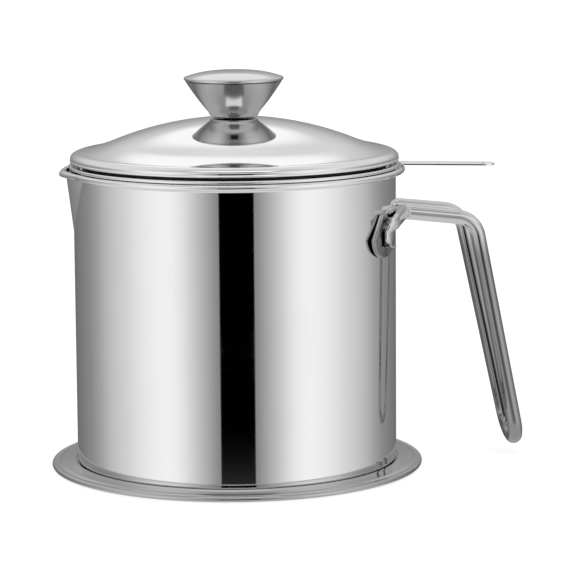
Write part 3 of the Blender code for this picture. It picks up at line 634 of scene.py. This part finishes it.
# %% Tray
TRAY_SHEET = 0.6
TRAY_SHELF = 2.3
TRAY_PAN = 50.0
PAN_BEND = 1.0
TRAY_RISE = 2.90
TRAY_RISE_RADIUS = 61.0
RISE_BEND = 0.5
TRAY_SLOPE = [(62.6, 2.72), (64.0, 2.54), (65.2, 2.42)]
TRAY_BROW = (66.3, 1.15)
TRAY_BROW_RADIUS = 1.2
TRAY_GROOVE = [(67.2, 2.00), (67.9, 1.90), (68.4, 1.88)]
TRAY_EDGE = (69.2, 1.0)
TRAY_EDGE_RADIUS = 1.0
TRAY_UNDERSIDE = [(67.2, 1.3), (65.8, 1.7)]

tray_section = [(0.0, TRAY_SHEET), (TRAY_PAN, TRAY_SHEET)]
tray_section += curve((TRAY_PAN + 0.2, TRAY_SHEET + PAN_BEND), PAN_BEND, -90.0, -35.0, 4)[1:]
tray_section += curve((TRAY_PAN + 2.9, TRAY_SHELF - PAN_BEND), PAN_BEND, 145.0, 90.0, 4)
tray_section += [(TRAY_RISE_RADIUS - 0.2, TRAY_SHELF), (TRAY_RISE_RADIUS, TRAY_SHELF + 0.04)]
tray_section += curve((TRAY_RISE_RADIUS + 0.55, TRAY_RISE - RISE_BEND), RISE_BEND, 135.0, 86.0, 5)
tray_section += TRAY_SLOPE
tray_section += curve(TRAY_BROW, TRAY_BROW_RADIUS, 86.0, 70.0, 4)
tray_section += TRAY_GROOVE
tray_section += curve(TRAY_EDGE, TRAY_EDGE_RADIUS, 112.0, -180.0, 26)
tray_section += TRAY_UNDERSIDE
tray_section += [(TRAY_RISE_RADIUS + 0.6, 2.5), (TRAY_RISE_RADIUS + 0.2, TRAY_SHELF - TRAY_SHEET),
                 (TRAY_PAN + 3.1, TRAY_SHELF - TRAY_SHEET), (TRAY_PAN + 0.6, 0.0), (0.0, 0.0)]
tray = turned_piece("pressed_tray", tray_section, closed=False, steps=192)
fit(tray, "tray", "drip_tray", darker_tray)

# %% [markdown]
# ## Pot
# The pot is drawn from one sheet. Its foot is a narrow ring round a raised base, its wall is
# straight, and its rim flares and rolls outwards, which makes the edge stiff and safe. The
# section is the outer face up to the rolled rim and the inner face back down.

# %% Pot section
POT_RADIUS = 60.5
POT_SHEET = 0.6
POT_FOOT = 2.6
POT_CORNER = 0.7
POT_RIM = (62.8, 112.2)
POT_RIM_RADIUS = 1.15
POT_FLARE = 110.2
FLARE_RADIUS = 1.0
SPOUT_FOOT = 88.0
WALL_ROWS = 30

pot_outer = [(0.0, POT_FOOT + 1.0), (50.0, POT_FOOT + 1.0), (52.6, POT_FOOT + 0.9),
             (53.6, POT_FOOT + 0.3), (54.4, POT_FOOT)]
pot_outer += curve((POT_RADIUS - POT_CORNER, POT_FOOT + POT_CORNER), POT_CORNER, -90.0, 0.0, 12)
pot_outer += [(POT_RADIUS, SPOUT_FOOT + (POT_FLARE - SPOUT_FOOT) * row / WALL_ROWS)
              for row in range(WALL_ROWS + 1)]
pot_outer += curve((POT_RADIUS + FLARE_RADIUS, POT_FLARE), FLARE_RADIUS, 180.0, 104.0, 9)[1:]
pot_inner = beside(pot_outer, POT_SHEET)
pot_inner[0] = (0.0, pot_inner[0][1])
pot_bead = curve(POT_RIM, POT_RIM_RADIUS, -115.0, 165.0, 24)
pot_section = pot_outer + pot_bead + pot_inner[::-1]
print("pot section corners:", len(pot_section))

# %% [markdown]
# The spout is pressed outward from the finished pot: a V with a round nose and flat sides,
# widest at the rim, that runs out some 20 mm below it. A press moves the metal without cutting
# it, so here too the corners are only moved, each by how high and how central it is. Beside the
# V the wall sinks in a little, which gives the crease its dark line.

# %% Pot with its spout
SPOUT_HALF_WIDTH = 13.0
SPOUT_REACH = 2.65
RIM_REACH = 1.5
NOSE_RADIUS = 2.6
RIM_BLEND = 3.0
RIM_WIDENING = 0.25
CREASE_DENT = 0.26
CREASE_PLACE = 0.13
CREASE_WIDTH = 0.11

pot = turned_piece("drawn_pot", pot_section, closed=False, steps=360)
for corner in pot.data.vertices:
    up = corner.co.z / MM
    rise = (up - SPOUT_FOOT) / (POT_FLARE - SPOUT_FOOT)
    if rise <= 0.0 or corner.co.x >= 0.0:
        continue
    to_rim = min(max((up - POT_FLARE) / RIM_BLEND, 0.0), 1.0)
    rise = min(rise, 1.0)
    width = SPOUT_HALF_WIDTH * rise * (1.0 + RIM_WIDENING * to_rim)
    reach = (SPOUT_REACH + (RIM_REACH - SPOUT_REACH) * to_rim) * rise
    nose = NOSE_RADIUS * rise
    off = math.hypot(corner.co.y / MM, nose) - nose
    side = width - (math.hypot(width, nose) - width) - nose * 0.5
    slope = 1.0 - off / max(side, 0.01)
    dip = math.exp(-((slope + CREASE_PLACE) / CREASE_WIDTH) ** 2)
    dent = CREASE_DENT * rise * (1.0 - to_rim) * dip
    corner.co.x -= (reach * max(slope, 0.0) - dent) * MM
fit(pot, "pot", "pot_body", polished)

# %% [markdown]
# ## Handle
# The handle is one rod, bent so that it comes off the wall on both sides, runs out as two arms,
# turns down and ends in a loop. Its line is drawn corner by corner for one side, each corner is
# rounded, and the other side is its mirror. The line becomes a curve with a round section. Only
# the two ends that are welded on are hammered flat.

# %% Line of the rod
ROD_RADIUS = 2.75
PLATE_ANGLE = math.radians(36.0)
PLATE_HEIGHT = 89.5
PLATE_THICKNESS = 1.5
GAP = 0.3
TONGUE_HALF_THICKNESS = 1.1
TONGUE_HALF_WIDTH = 3.0
TONGUE_LENGTH = 5.5
TONGUE_NECK = 26.0
TONGUE_LOW = 86.3
TONGUE_TOP = 91.8
TIP_LENGTH = 2.6
TIP_LEAST = 0.04
ARM_STANDOFF = 1.6
ARM_HEIGHT = 95.7
ARM_START = Vector((61.9, 11.5, ARM_HEIGHT))
GRIP_TOP = Vector((89.6, 12.6, 92.5))
GRIP_FOOT = Vector((106.0, 8.5, 14.0))
BEND_RADII = [1.5, 3.0, 3.5, 9.0]
LOOP_STEPS = 16
# Places of more rings near the ends, where the rod is hammered flat.
END_RINGS = (0.04, 0.12, 0.25, 0.45, 0.7)


def on_plate(distance, height):
    return Vector((distance * math.cos(PLATE_ANGLE), distance * math.sin(PLATE_ANGLE), height))


def round_corners(corners, radii, steps):
    """Straight runs between corners, with an arc of the given radius at each inner corner."""
    route = [corners[0]]
    for before, corner, after, radius in zip(corners, corners[1:], corners[2:], radii):
        back = (before - corner).normalized()
        on = (after - corner).normalized()
        half = back.angle(on) / 2
        reach = radius / math.tan(half)
        centre = corner + (back + on).normalized() * (radius / math.sin(half))
        first = (corner + back * reach - centre).normalized()
        last = (corner + on * reach - centre).normalized()
        route += [centre + first.slerp(last, step / steps) * radius for step in range(steps + 1)]
    return route + [corners[-1]]


tongue = POT_RADIUS + GAP + PLATE_THICKNESS + GAP + TONGUE_HALF_THICKNESS
standing = POT_RADIUS + GAP + PLATE_THICKNESS + ARM_STANDOFF + ROD_RADIUS
rod_corners = [on_plate(tongue, TONGUE_LOW), on_plate(tongue, TONGUE_TOP),
               on_plate(standing, ARM_HEIGHT), ARM_START, GRIP_TOP, GRIP_FOOT]
rod_route = round_corners(rod_corners, BEND_RADII, 12)
rod_route[1:1] = [rod_route[0].lerp(rod_route[1], share) for share in END_RINGS]
down = GRIP_FOOT - GRIP_TOP
down.y = 0.0
down.normalize()
for step in range(1, LOOP_STEPS + 1):
    angle = math.pi / 2 * step / LOOP_STEPS
    across = Vector((GRIP_FOOT.x, GRIP_FOOT.y * math.cos(angle), GRIP_FOOT.z))
    rod_route.append(across + down * (GRIP_FOOT.y * math.sin(angle)))
rod_route += [Vector((p.x, -p.y, p.z)) for p in rod_route[-2::-1]]
print("rod corners:", len(rod_route))

# %% Rod
handle = draw_line("rod_handle", rod_route)
bpy.ops.object.mode_set(mode="OBJECT")
bpy.ops.object.convert(target="CURVE")
handle = bpy.context.object
handle.data.bevel_depth = ROD_RADIUS * MM
handle.data.bevel_resolution = 8
handle.data.use_fill_caps = True
bpy.ops.object.convert(target="MESH")
handle = bpy.context.object
ends = TONGUE_LENGTH + TONGUE_NECK
rings = len(rod_route)
sides = len(handle.data.vertices) // rings
print("rod rings:", rings, "corners in each:", sides)

# %% Hammer the ends flat
corners_by_ring = [handle.data.vertices[index * sides:(index + 1) * sides]
                   for index in range(rings)]
middles = [sum((corner.co for corner in ring), Vector()) / sides / MM for ring in corners_by_ring]
runs = [0.0]
for before, after in zip(middles, middles[1:]):
    runs.append(runs[-1] + (after - before).length)
for index, (ring, middle) in enumerate(zip(corners_by_ring, middles)):
    run = min(runs[index], runs[-1] - runs[index])
    roundness = min(max((run - TONGUE_LENGTH) / (ends - TONGUE_LENGTH), 0.0), 1.0)
    if roundness >= 1.0:
        continue
    roundness = roundness ** 2 * (3.0 - 2.0 * roundness)
    side = math.copysign(1.0, middle.y)
    outward = Vector((math.cos(PLATE_ANGLE), side * math.sin(PLATE_ANGLE), 0.0))
    along = (middles[min(index + 1, rings - 1)] - middles[max(index - 1, 0)]).normalized()
    outward = (outward - along * outward.dot(along)).normalized()
    sideways = along.cross(outward)
    thick = (TONGUE_HALF_THICKNESS + (ROD_RADIUS - TONGUE_HALF_THICKNESS) * roundness) / ROD_RADIUS
    wide = (TONGUE_HALF_WIDTH + (ROD_RADIUS - TONGUE_HALF_WIDTH) * roundness) / ROD_RADIUS
    tip = min(run / TIP_LENGTH, 1.0)
    wide *= math.sqrt(max(1.0 - (1.0 - tip) ** 2, TIP_LEAST))
    for corner in ring:
        offset = corner.co / MM - middle
        corner.co = (middle + outward * offset.dot(outward) * thick
                     + sideways * offset.dot(sideways) * wide + along * offset.dot(along)) * MM
smooth(handle, 50.0)
fit(handle, "pot", "handle_loop", drawn)

# %% [markdown]
# ## Handle plates
# Two plates spread the rod's pull over the thin wall. Each is shaped like a shield, with straight
# sloping sides above and a round edge below. A round disc is pulled to that outline, extruded to
# its thickness, and given a broad bevel, as a press leaves it.

# %% Plates under the rod's ends
PLATE_HALF_WIDTH = 9.0
PLATE_RISE = 8.6
PLATE_FALL = 7.5
PLATE_TOP_HALF_WIDTH = 1.7
PLATE_ROUND_STEPS = 28
PLATE_BEVEL = 0.5

plate_outline = [(PLATE_HALF_WIDTH * math.cos(math.pi * step / PLATE_ROUND_STEPS),
                  -PLATE_FALL * math.sin(math.pi * step / PLATE_ROUND_STEPS))
                 for step in range(PLATE_ROUND_STEPS + 1)]
plate_outline += [(-PLATE_TOP_HALF_WIDTH, PLATE_RISE), (PLATE_TOP_HALF_WIDTH, PLATE_RISE)]


def make_plate(name, side):
    bpy.ops.object.select_all(action="DESELECT")
    bpy.ops.mesh.primitive_circle_add(vertices=len(plate_outline), radius=PLATE_HALF_WIDTH * MM,
                                      fill_type="NGON")
    piece = bpy.context.object
    piece.name = piece.data.name = name
    for corner, (across, up) in zip(piece.data.vertices, plate_outline):
        corner.co = (0.0, across * MM, up * MM)
    bpy.ops.object.mode_set(mode="EDIT")
    bpy.ops.mesh.select_all(action="SELECT")
    bpy.ops.mesh.extrude_region_move(TRANSFORM_OT_translate={"value": (PLATE_THICKNESS * MM, 0, 0)})
    bpy.ops.mesh.bevel(offset=PLATE_BEVEL * MM, segments=4, profile=0.5)
    bpy.ops.mesh.select_all(action="SELECT")
    bpy.ops.mesh.normals_make_consistent(inside=False)
    bpy.ops.object.mode_set(mode="OBJECT")
    turn = Matrix.Rotation(side * PLATE_ANGLE, 4, "Z")
    piece.data.transform(turn @ Matrix.Translation(((POT_RADIUS + GAP) * MM, 0, PLATE_HEIGHT * MM)))
    smooth(piece, 40.0)
    return piece


for plate_name, side in (("front", -1), ("rear", 1)):
    fit(make_plate(plate_name + "_plate", side), "pot", "handle_plate_" + plate_name,
        pressed)

# %% [markdown]
# ## Strainer
# The basket hangs by a rolled rim on the rim of the pot. Its wall tapers a little, and a narrow
# ledge at its foot carries the net, which a flat ring holds down. A flat strip sticks out over
# the handle to lift it by.

# %% Basket
BASKET_SHEET = 0.5
BASKET_RIM = (61.3, 113.944)
BASKET_FOOT = 91.944

BASKET_RIM_RADIUS = 0.8
BASKET_RIM_STEPS = 16
BASKET_NECK = (59.6, 109.8)
BASKET_NECK_RADIUS = 0.7
BASKET_WALL = 57.5
BASKET_CORNER = 1.0
BASKET_CORNER_AT = 56.4
BASKET_OPENING = 51.4

basket_outer = curve(BASKET_RIM, BASKET_RIM_RADIUS, 180.0, -100.0, BASKET_RIM_STEPS)
basket_outer += curve(BASKET_NECK, BASKET_NECK_RADIUS, 100.0, 180.0, 5)
basket_outer += [(BASKET_WALL, BASKET_FOOT + 1.2)]
basket_outer += curve((BASKET_CORNER_AT, BASKET_FOOT + BASKET_CORNER), BASKET_CORNER, 0.0, -90.0, 6)
basket_outer += [(BASKET_OPENING, BASKET_FOOT)]
basket_inner = beside(basket_outer[BASKET_RIM_STEPS:], -BASKET_SHEET)[1:]
basket_inner[-1] = (BASKET_OPENING, BASKET_FOOT + BASKET_SHEET)
basket = turned_piece("strainer_bowl", basket_outer + basket_inner[::-1], steps=320)
fit(basket, "strainer", "strainer_basket", polished)

# %% Clamp ring
NET_THICKNESS = 0.8
CLAMP_LOW = BASKET_FOOT + BASKET_SHEET + GAP + NET_THICKNESS + GAP
clamp_section = [(52.7, CLAMP_LOW), (56.3, CLAMP_LOW), (56.3, CLAMP_LOW + 0.6),
                 (56.1, CLAMP_LOW + 0.8), (52.9, CLAMP_LOW + 0.8), (52.7, CLAMP_LOW + 0.6)]
clamp = turned_piece("net_ring", clamp_section)
fit(clamp, "strainer", "net_clamp_ring", satin)

# %% [markdown]
# The net is woven wire. One wavy wire is drawn as a line and made a thin round curve; its
# neighbour waves the other way. The pair is repeated across the strainer, and a second layer
# runs the other way over and under it. What reaches past the clamp ring is cut away.

# %% Wires of the net
NET_PITCH = 1.9
WIRE_RADIUS = 0.26
WIRE_WAVE = 0.13
NET_RADIUS = 55.9
NET_MIDDLE = BASKET_FOOT + BASKET_SHEET + GAP + NET_THICKNESS / 2


def wavy_wire(name, offset, phase):
    count = int(NET_RADIUS / NET_PITCH) + 1
    points = []
    for step in range(-2 * count, 2 * count + 1):
        wave = WIRE_WAVE * math.cos(math.pi * step / 2 + phase)
        points.append((step * NET_PITCH / 2, offset, NET_MIDDLE + wave))
    wire = draw_line(name, points)
    bpy.ops.object.mode_set(mode="OBJECT")
    bpy.ops.object.convert(target="CURVE")
    wire = bpy.context.object
    wire.data.bevel_depth = WIRE_RADIUS * MM
    wire.data.bevel_resolution = 0
    bpy.ops.object.convert(target="MESH")
    return bpy.context.object


def wire_layer(name, phase):
    """All wires of one direction: a pair that waves in turn, repeated across the net."""
    count = int(NET_RADIUS / NET_PITCH / 2) + 1
    start = -2 * count * NET_PITCH
    pair = [wavy_wire(name, start, phase),
            wavy_wire(name + "_next", start + NET_PITCH, phase + math.pi)]
    bpy.ops.object.select_all(action="DESELECT")
    for wire in pair:
        wire.select_set(True)
    bpy.context.view_layer.objects.active = pair[0]
    bpy.ops.object.join()
    layer = bpy.context.object
    repeat = layer.modifiers.new("Across", "ARRAY")
    repeat.count = 2 * count + 1
    repeat.use_relative_offset = False
    repeat.use_constant_offset = True
    repeat.constant_offset_displace = (0.0, 2 * NET_PITCH * MM, 0.0)
    bpy.ops.object.modifier_apply(modifier=repeat.name)
    return layer


print("net height:", round(NET_MIDDLE, 3))

# %% Weave the net and cut it round
warp = wire_layer("wire_net", 0.0)
weft = wire_layer("wire_net_weft", math.pi)
weft.data.transform(Matrix.Rotation(math.pi / 2, 4, "Z"))
bpy.ops.object.select_all(action="DESELECT")
warp.select_set(True)
weft.select_set(True)
bpy.context.view_layer.objects.active = warp
bpy.ops.object.join()
net = bpy.context.object
bpy.ops.object.mode_set(mode="EDIT")
bpy.ops.mesh.select_all(action="DESELECT")
bpy.ops.object.mode_set(mode="OBJECT")
for corner in net.data.vertices:
    corner.select = corner.co.xy.length > NET_RADIUS * MM
bpy.ops.object.mode_set(mode="EDIT")
bpy.ops.mesh.delete(type="VERT")
bpy.ops.object.mode_set(mode="OBJECT")
smooth(net, 60.0)
fit(net, "strainer", "strainer_net", satin)

# %% [markdown]
# The strip is a narrow bar with a round end and a hole to hang it by. It starts as an outline that
# is filled and extruded, with corners along its sides so that it can droop a little. Its sawn
# edges stay sharper in what they mirror than its rubbed flat faces.

# %% Strip of the strainer
STRIP_HALF_WIDTH = 4.25
STRIP_START = 62.4
STRIP_END = 97.5
STRIP_LOW = 113.65
STRIP_THICKNESS = 0.8
STRIP_TURN = math.radians(-10.5)
STRIP_DROOP = 0.4
STRIP_BEVEL = 0.22
SIDE_CORNERS = (0.2, 0.4, 0.6, 0.8)
HOLE_RADIUS = 2.0
PUNCH_LENGTH = 6.0

middle = STRIP_END - STRIP_HALF_WIDTH
outline = [(STRIP_START, -STRIP_HALF_WIDTH), (STRIP_START, STRIP_HALF_WIDTH)]
outline += [(STRIP_START + (middle - STRIP_START) * share, STRIP_HALF_WIDTH)
            for share in SIDE_CORNERS]
outline += curve((middle, 0.0), STRIP_HALF_WIDTH, 90.0, -90.0, 32)
outline += [(STRIP_START + (middle - STRIP_START) * share, -STRIP_HALF_WIDTH)
            for share in SIDE_CORNERS[::-1]]
strip = draw_line("flat_strip", [(x, y, STRIP_LOW) for x, y in outline + outline[:1]])
bpy.ops.mesh.select_all(action="SELECT")
bpy.ops.mesh.remove_doubles(threshold=WELD)
bpy.ops.mesh.edge_face_add()
bpy.ops.mesh.extrude_region_move(TRANSFORM_OT_translate={"value": (0, 0, STRIP_THICKNESS * MM)})
bpy.ops.mesh.select_all(action="SELECT")
bpy.ops.mesh.normals_make_consistent(inside=False)
bpy.ops.object.mode_set(mode="OBJECT")
print("strip corners:", len(strip.data.vertices))

# %% Hole and soft edges of the strip
bpy.ops.object.select_all(action="DESELECT")
bpy.ops.mesh.primitive_cylinder_add(vertices=48, radius=HOLE_RADIUS * MM, depth=PUNCH_LENGTH * MM,
                                    location=(middle * MM, 0, STRIP_LOW * MM))
punch = bpy.context.object
hole = strip.modifiers.new("Hanging hole", "BOOLEAN")
hole.operation = "DIFFERENCE"
hole.solver = "EXACT"
hole.object = punch
soften = strip.modifiers.new("Soft edges", "BEVEL")
soften.width = STRIP_BEVEL * MM
soften.segments = 3
soften.limit_method = "ANGLE"
bpy.ops.object.select_all(action="DESELECT")
strip.select_set(True)
bpy.context.view_layer.objects.active = strip
bpy.ops.object.modifier_apply(modifier=hole.name)
bpy.ops.object.modifier_apply(modifier=soften.name)
bpy.data.objects.remove(punch)
for corner in strip.data.vertices:
    share = (corner.co.x / MM - STRIP_START) / (STRIP_END - STRIP_START)
    corner.co.z -= STRIP_DROOP * MM * share
strip.data.transform(Matrix.Rotation(STRIP_TURN, 4, "Z"))
smooth(strip, 40.0)
print("strip faces:", len(strip.data.polygons))

# %% Finish of the strip
EDGE_ROUGHNESS = 0.15

uprightness = strip.data.attributes.new("side_face", "FLOAT", "FACE")
for face, value in zip(strip.data.polygons, uprightness.data):
    value.value = 1.0 - abs(face.normal.z)
edged = make_steel("strip_steel")
tree = edged.node_tree
shader = tree.nodes["Principled BSDF"]
side = add_node(tree, "ShaderNodeAttribute", attribute_name="side_face")
sharper = remap(tree, side.outputs["Fac"], 0.0, 1.0, 1.0, EDGE_ROUGHNESS)
rough = shader.inputs["Roughness"].links[0].from_socket
join(tree, calculate(tree, "MULTIPLY", rough, sharper), shader.inputs["Roughness"])
fit(strip, "strainer", "strainer_handle", edged)

# %% [markdown]
# ## Lid
# The lid is pressed: a low dome, a brim that is a little hollow, a rounded shoulder and a lip
# that ends in a thin rolled edge. The dome mirrors the knob above it, which looks like a second
# cone standing on the lid, so its surface has to be fine and even.

# %% Lid
LID_SHEET = 0.6
LIP_LOW = 115.144
LIP_TOP = LIP_LOW + 1.8
BRIM = (58.0, LIP_TOP + 2.3)
DOME_EDGE = (47.3, BRIM[1] + 3.1)
DOME_RISE = 9.55
DOME_CURVE = (DOME_EDGE[0] ** 2 + DOME_RISE ** 2) / (2 * DOME_RISE)
DOME_LAST = 46.0
DOME_ROWS = 44
SEAT_RADIUS = 8.5
SCREW_HOLE = 2.4
BRIM_ROWS = 16
BRIM_HOLLOW = 0.3
SHOULDER = (3.6, 2.40)
SHOULDER_SINK = 0.10
LIP_EDGE = (61.24, LIP_TOP - 0.80)
LIP_EDGE_RADIUS = 0.42


def dome_height(radius):
    return DOME_EDGE[1] + DOME_RISE - DOME_CURVE + math.sqrt(DOME_CURVE ** 2 - radius ** 2)


seat = dome_height(SEAT_RADIUS)
lid_outer = [(SEAT_RADIUS, seat)]
lid_outer += [(radius, dome_height(radius)) for radius in
              [SEAT_RADIUS + (DOME_LAST - SEAT_RADIUS) * step / DOME_ROWS
               for step in range(1, DOME_ROWS + 1)]]
rise = DOME_EDGE[1] - BRIM[1]
for step in range(BRIM_ROWS + 1):
    share = 0.03 + 0.95 * step / BRIM_ROWS
    drop = share * (1.0 + BRIM_HOLLOW) - BRIM_HOLLOW * share ** 2
    lid_outer.append((DOME_EDGE[0] + (BRIM[0] - DOME_EDGE[0]) * share, DOME_EDGE[1] - rise * drop))
lid_outer += [(BRIM[0] + SHOULDER[0] * math.sin(math.radians(turn)),
               LIP_TOP - SHOULDER_SINK + SHOULDER[1] * math.cos(math.radians(turn)))
              for turn in range(6, 79, 6)]
lid_inner = beside(lid_outer, -LID_SHEET)
lid_inner[0] = (SEAT_RADIUS, seat - LID_SHEET)
lid_outer += [(61.55, LIP_TOP - 0.05), (61.36, LIP_TOP - 0.28)]
lid_outer += curve(LIP_EDGE, LIP_EDGE_RADIUS, 55.0, -150.0, 14)
lid_inner.append((60.84, LIP_TOP - 0.60))
lid_section = ([(SCREW_HOLE, seat)] + lid_outer + lid_inner[::-1]
               + [(SCREW_HOLE, seat - LID_SHEET)])
lid = turned_piece("pressed_lid", lid_section, steps=224)
fit(lid, "lid", "lid_shell", polished)

# %% [markdown]
# Under the brim a ring with a narrow flange drops into the strainer and keeps the lid centred.

# %% Ring in the lid
RING_WALL = 57.4
RING_DEPTH = 4.6
RING_FLANGE = 52.9
under_brim = BRIM[1] - LID_SHEET - GAP - 0.2


def below_brim(radius):
    return under_brim - rise / (BRIM[0] - DOME_EDGE[0]) * (radius - BRIM[0])


ring_low = below_brim(RING_WALL) - RING_DEPTH
ring_section = [(RING_WALL, ring_low + 0.2), (RING_WALL, below_brim(RING_WALL) - 0.3),
                (RING_WALL - 0.3, below_brim(RING_WALL - 0.3)),
                (RING_FLANGE, below_brim(RING_FLANGE)),
                (RING_FLANGE, below_brim(RING_FLANGE) - 0.6),
                (56.4, below_brim(56.4) - 0.6), (56.8, below_brim(56.8) - 1.0),
                (56.8, ring_low + 0.2), (56.95, ring_low), (57.25, ring_low)]
centring = turned_piece("centring_ring", ring_section)
# Painted shade: the ring is painted near black for the dark gap between the lid's lip and the
# strainer's rim.
fit(centring, "lid", "lid_locating_ring", gap_shade)

# %% [markdown]
# ## Knob
# The knob is a hollow cone that stands on its narrow end, closed by a domed cap with a rounded
# edge. A screw from inside the lid holds it.

# %% Knob cone
KNOB_LOW = seat + GAP
KNOB_TOP = KNOB_LOW + 13.4
KNOB_SHEET = 0.9
CONE_BEAD = 1.3
CONE_NARROW = 9.15
CONE_WIDENING = 8.95
CONE_FULLNESS = 0.35
CONE_RISE = 12.1
CONE_ROWS = 24
CONE_FLOOR = 1.2
INSERT_RADIUS = 6.3

cone_outer = curve((7.9, KNOB_LOW + CONE_BEAD), CONE_BEAD, -90.0, -22.0, 8)
for step in range(1, CONE_ROWS + 1):
    share = step / CONE_ROWS
    cone_outer.append(
        (CONE_NARROW + CONE_WIDENING * share + CONE_FULLNESS * math.sin(math.pi * share),
         KNOB_LOW + CONE_BEAD + CONE_RISE * share))
cone_inner = [point for point in beside(cone_outer, KNOB_SHEET) if point[1] > KNOB_LOW + 2.1]
cone_inner[-1] = (cone_inner[-1][0], KNOB_TOP)
cone_section = (cone_outer + cone_inner[::-1]
                + [(INSERT_RADIUS, KNOB_LOW + CONE_FLOOR), (SCREW_HOLE, KNOB_LOW + CONE_FLOOR),
                   (SCREW_HOLE, KNOB_LOW)])
cone = turned_piece("knob_grip", cone_section, steps=128)
fit(cone, "lid", "knob_cone", turned)

# %% Knob cap
CAP_LOW = KNOB_TOP + GAP
CAP_EDGE_R = 18.05
CAP_SIDE = 1.3
CAP_SIDE_RADIUS = 0.65
CAP_RISE = 2.4
CAP_FULLNESS = 2.8
CAP_ROWS = 32
CAP_SPIGOT = (14.3, 15.2)
SPIGOT_DEPTH = 1.2

cap_section = [(CAP_EDGE_R * share, CAP_LOW + CAP_SIDE + CAP_RISE * (1.0 - share ** CAP_FULLNESS))
               for share in [step / CAP_ROWS for step in range(CAP_ROWS)]]
cap_section += curve((CAP_EDGE_R, CAP_LOW + CAP_SIDE_RADIUS), CAP_SIDE_RADIUS, 70.0, -90.0, 12)
cap_section += [(CAP_SPIGOT[1], CAP_LOW), (CAP_SPIGOT[1], CAP_LOW - SPIGOT_DEPTH),
                (CAP_SPIGOT[0], CAP_LOW - SPIGOT_DEPTH), (CAP_SPIGOT[0], CAP_LOW),
                (0.0, CAP_LOW + CAP_SIDE)]
cap = turned_piece("knob_top", cap_section, closed=False, steps=128)
fit(cap, "lid", "knob_cap", buffed)

# %% [markdown]
# ## Screw, washers and insert
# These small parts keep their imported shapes, which already have their slots and flats, and get
# the zinc finish.

# %% Finish the small hardware
for node_name in ("knob_screw", "knob_washer", "knob_spring_washer", "knob_insert"):
    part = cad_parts[node_name]
    part.data.materials.clear()
    part.data.materials.append(zinc)
    print(node_name, "in", zinc.name)
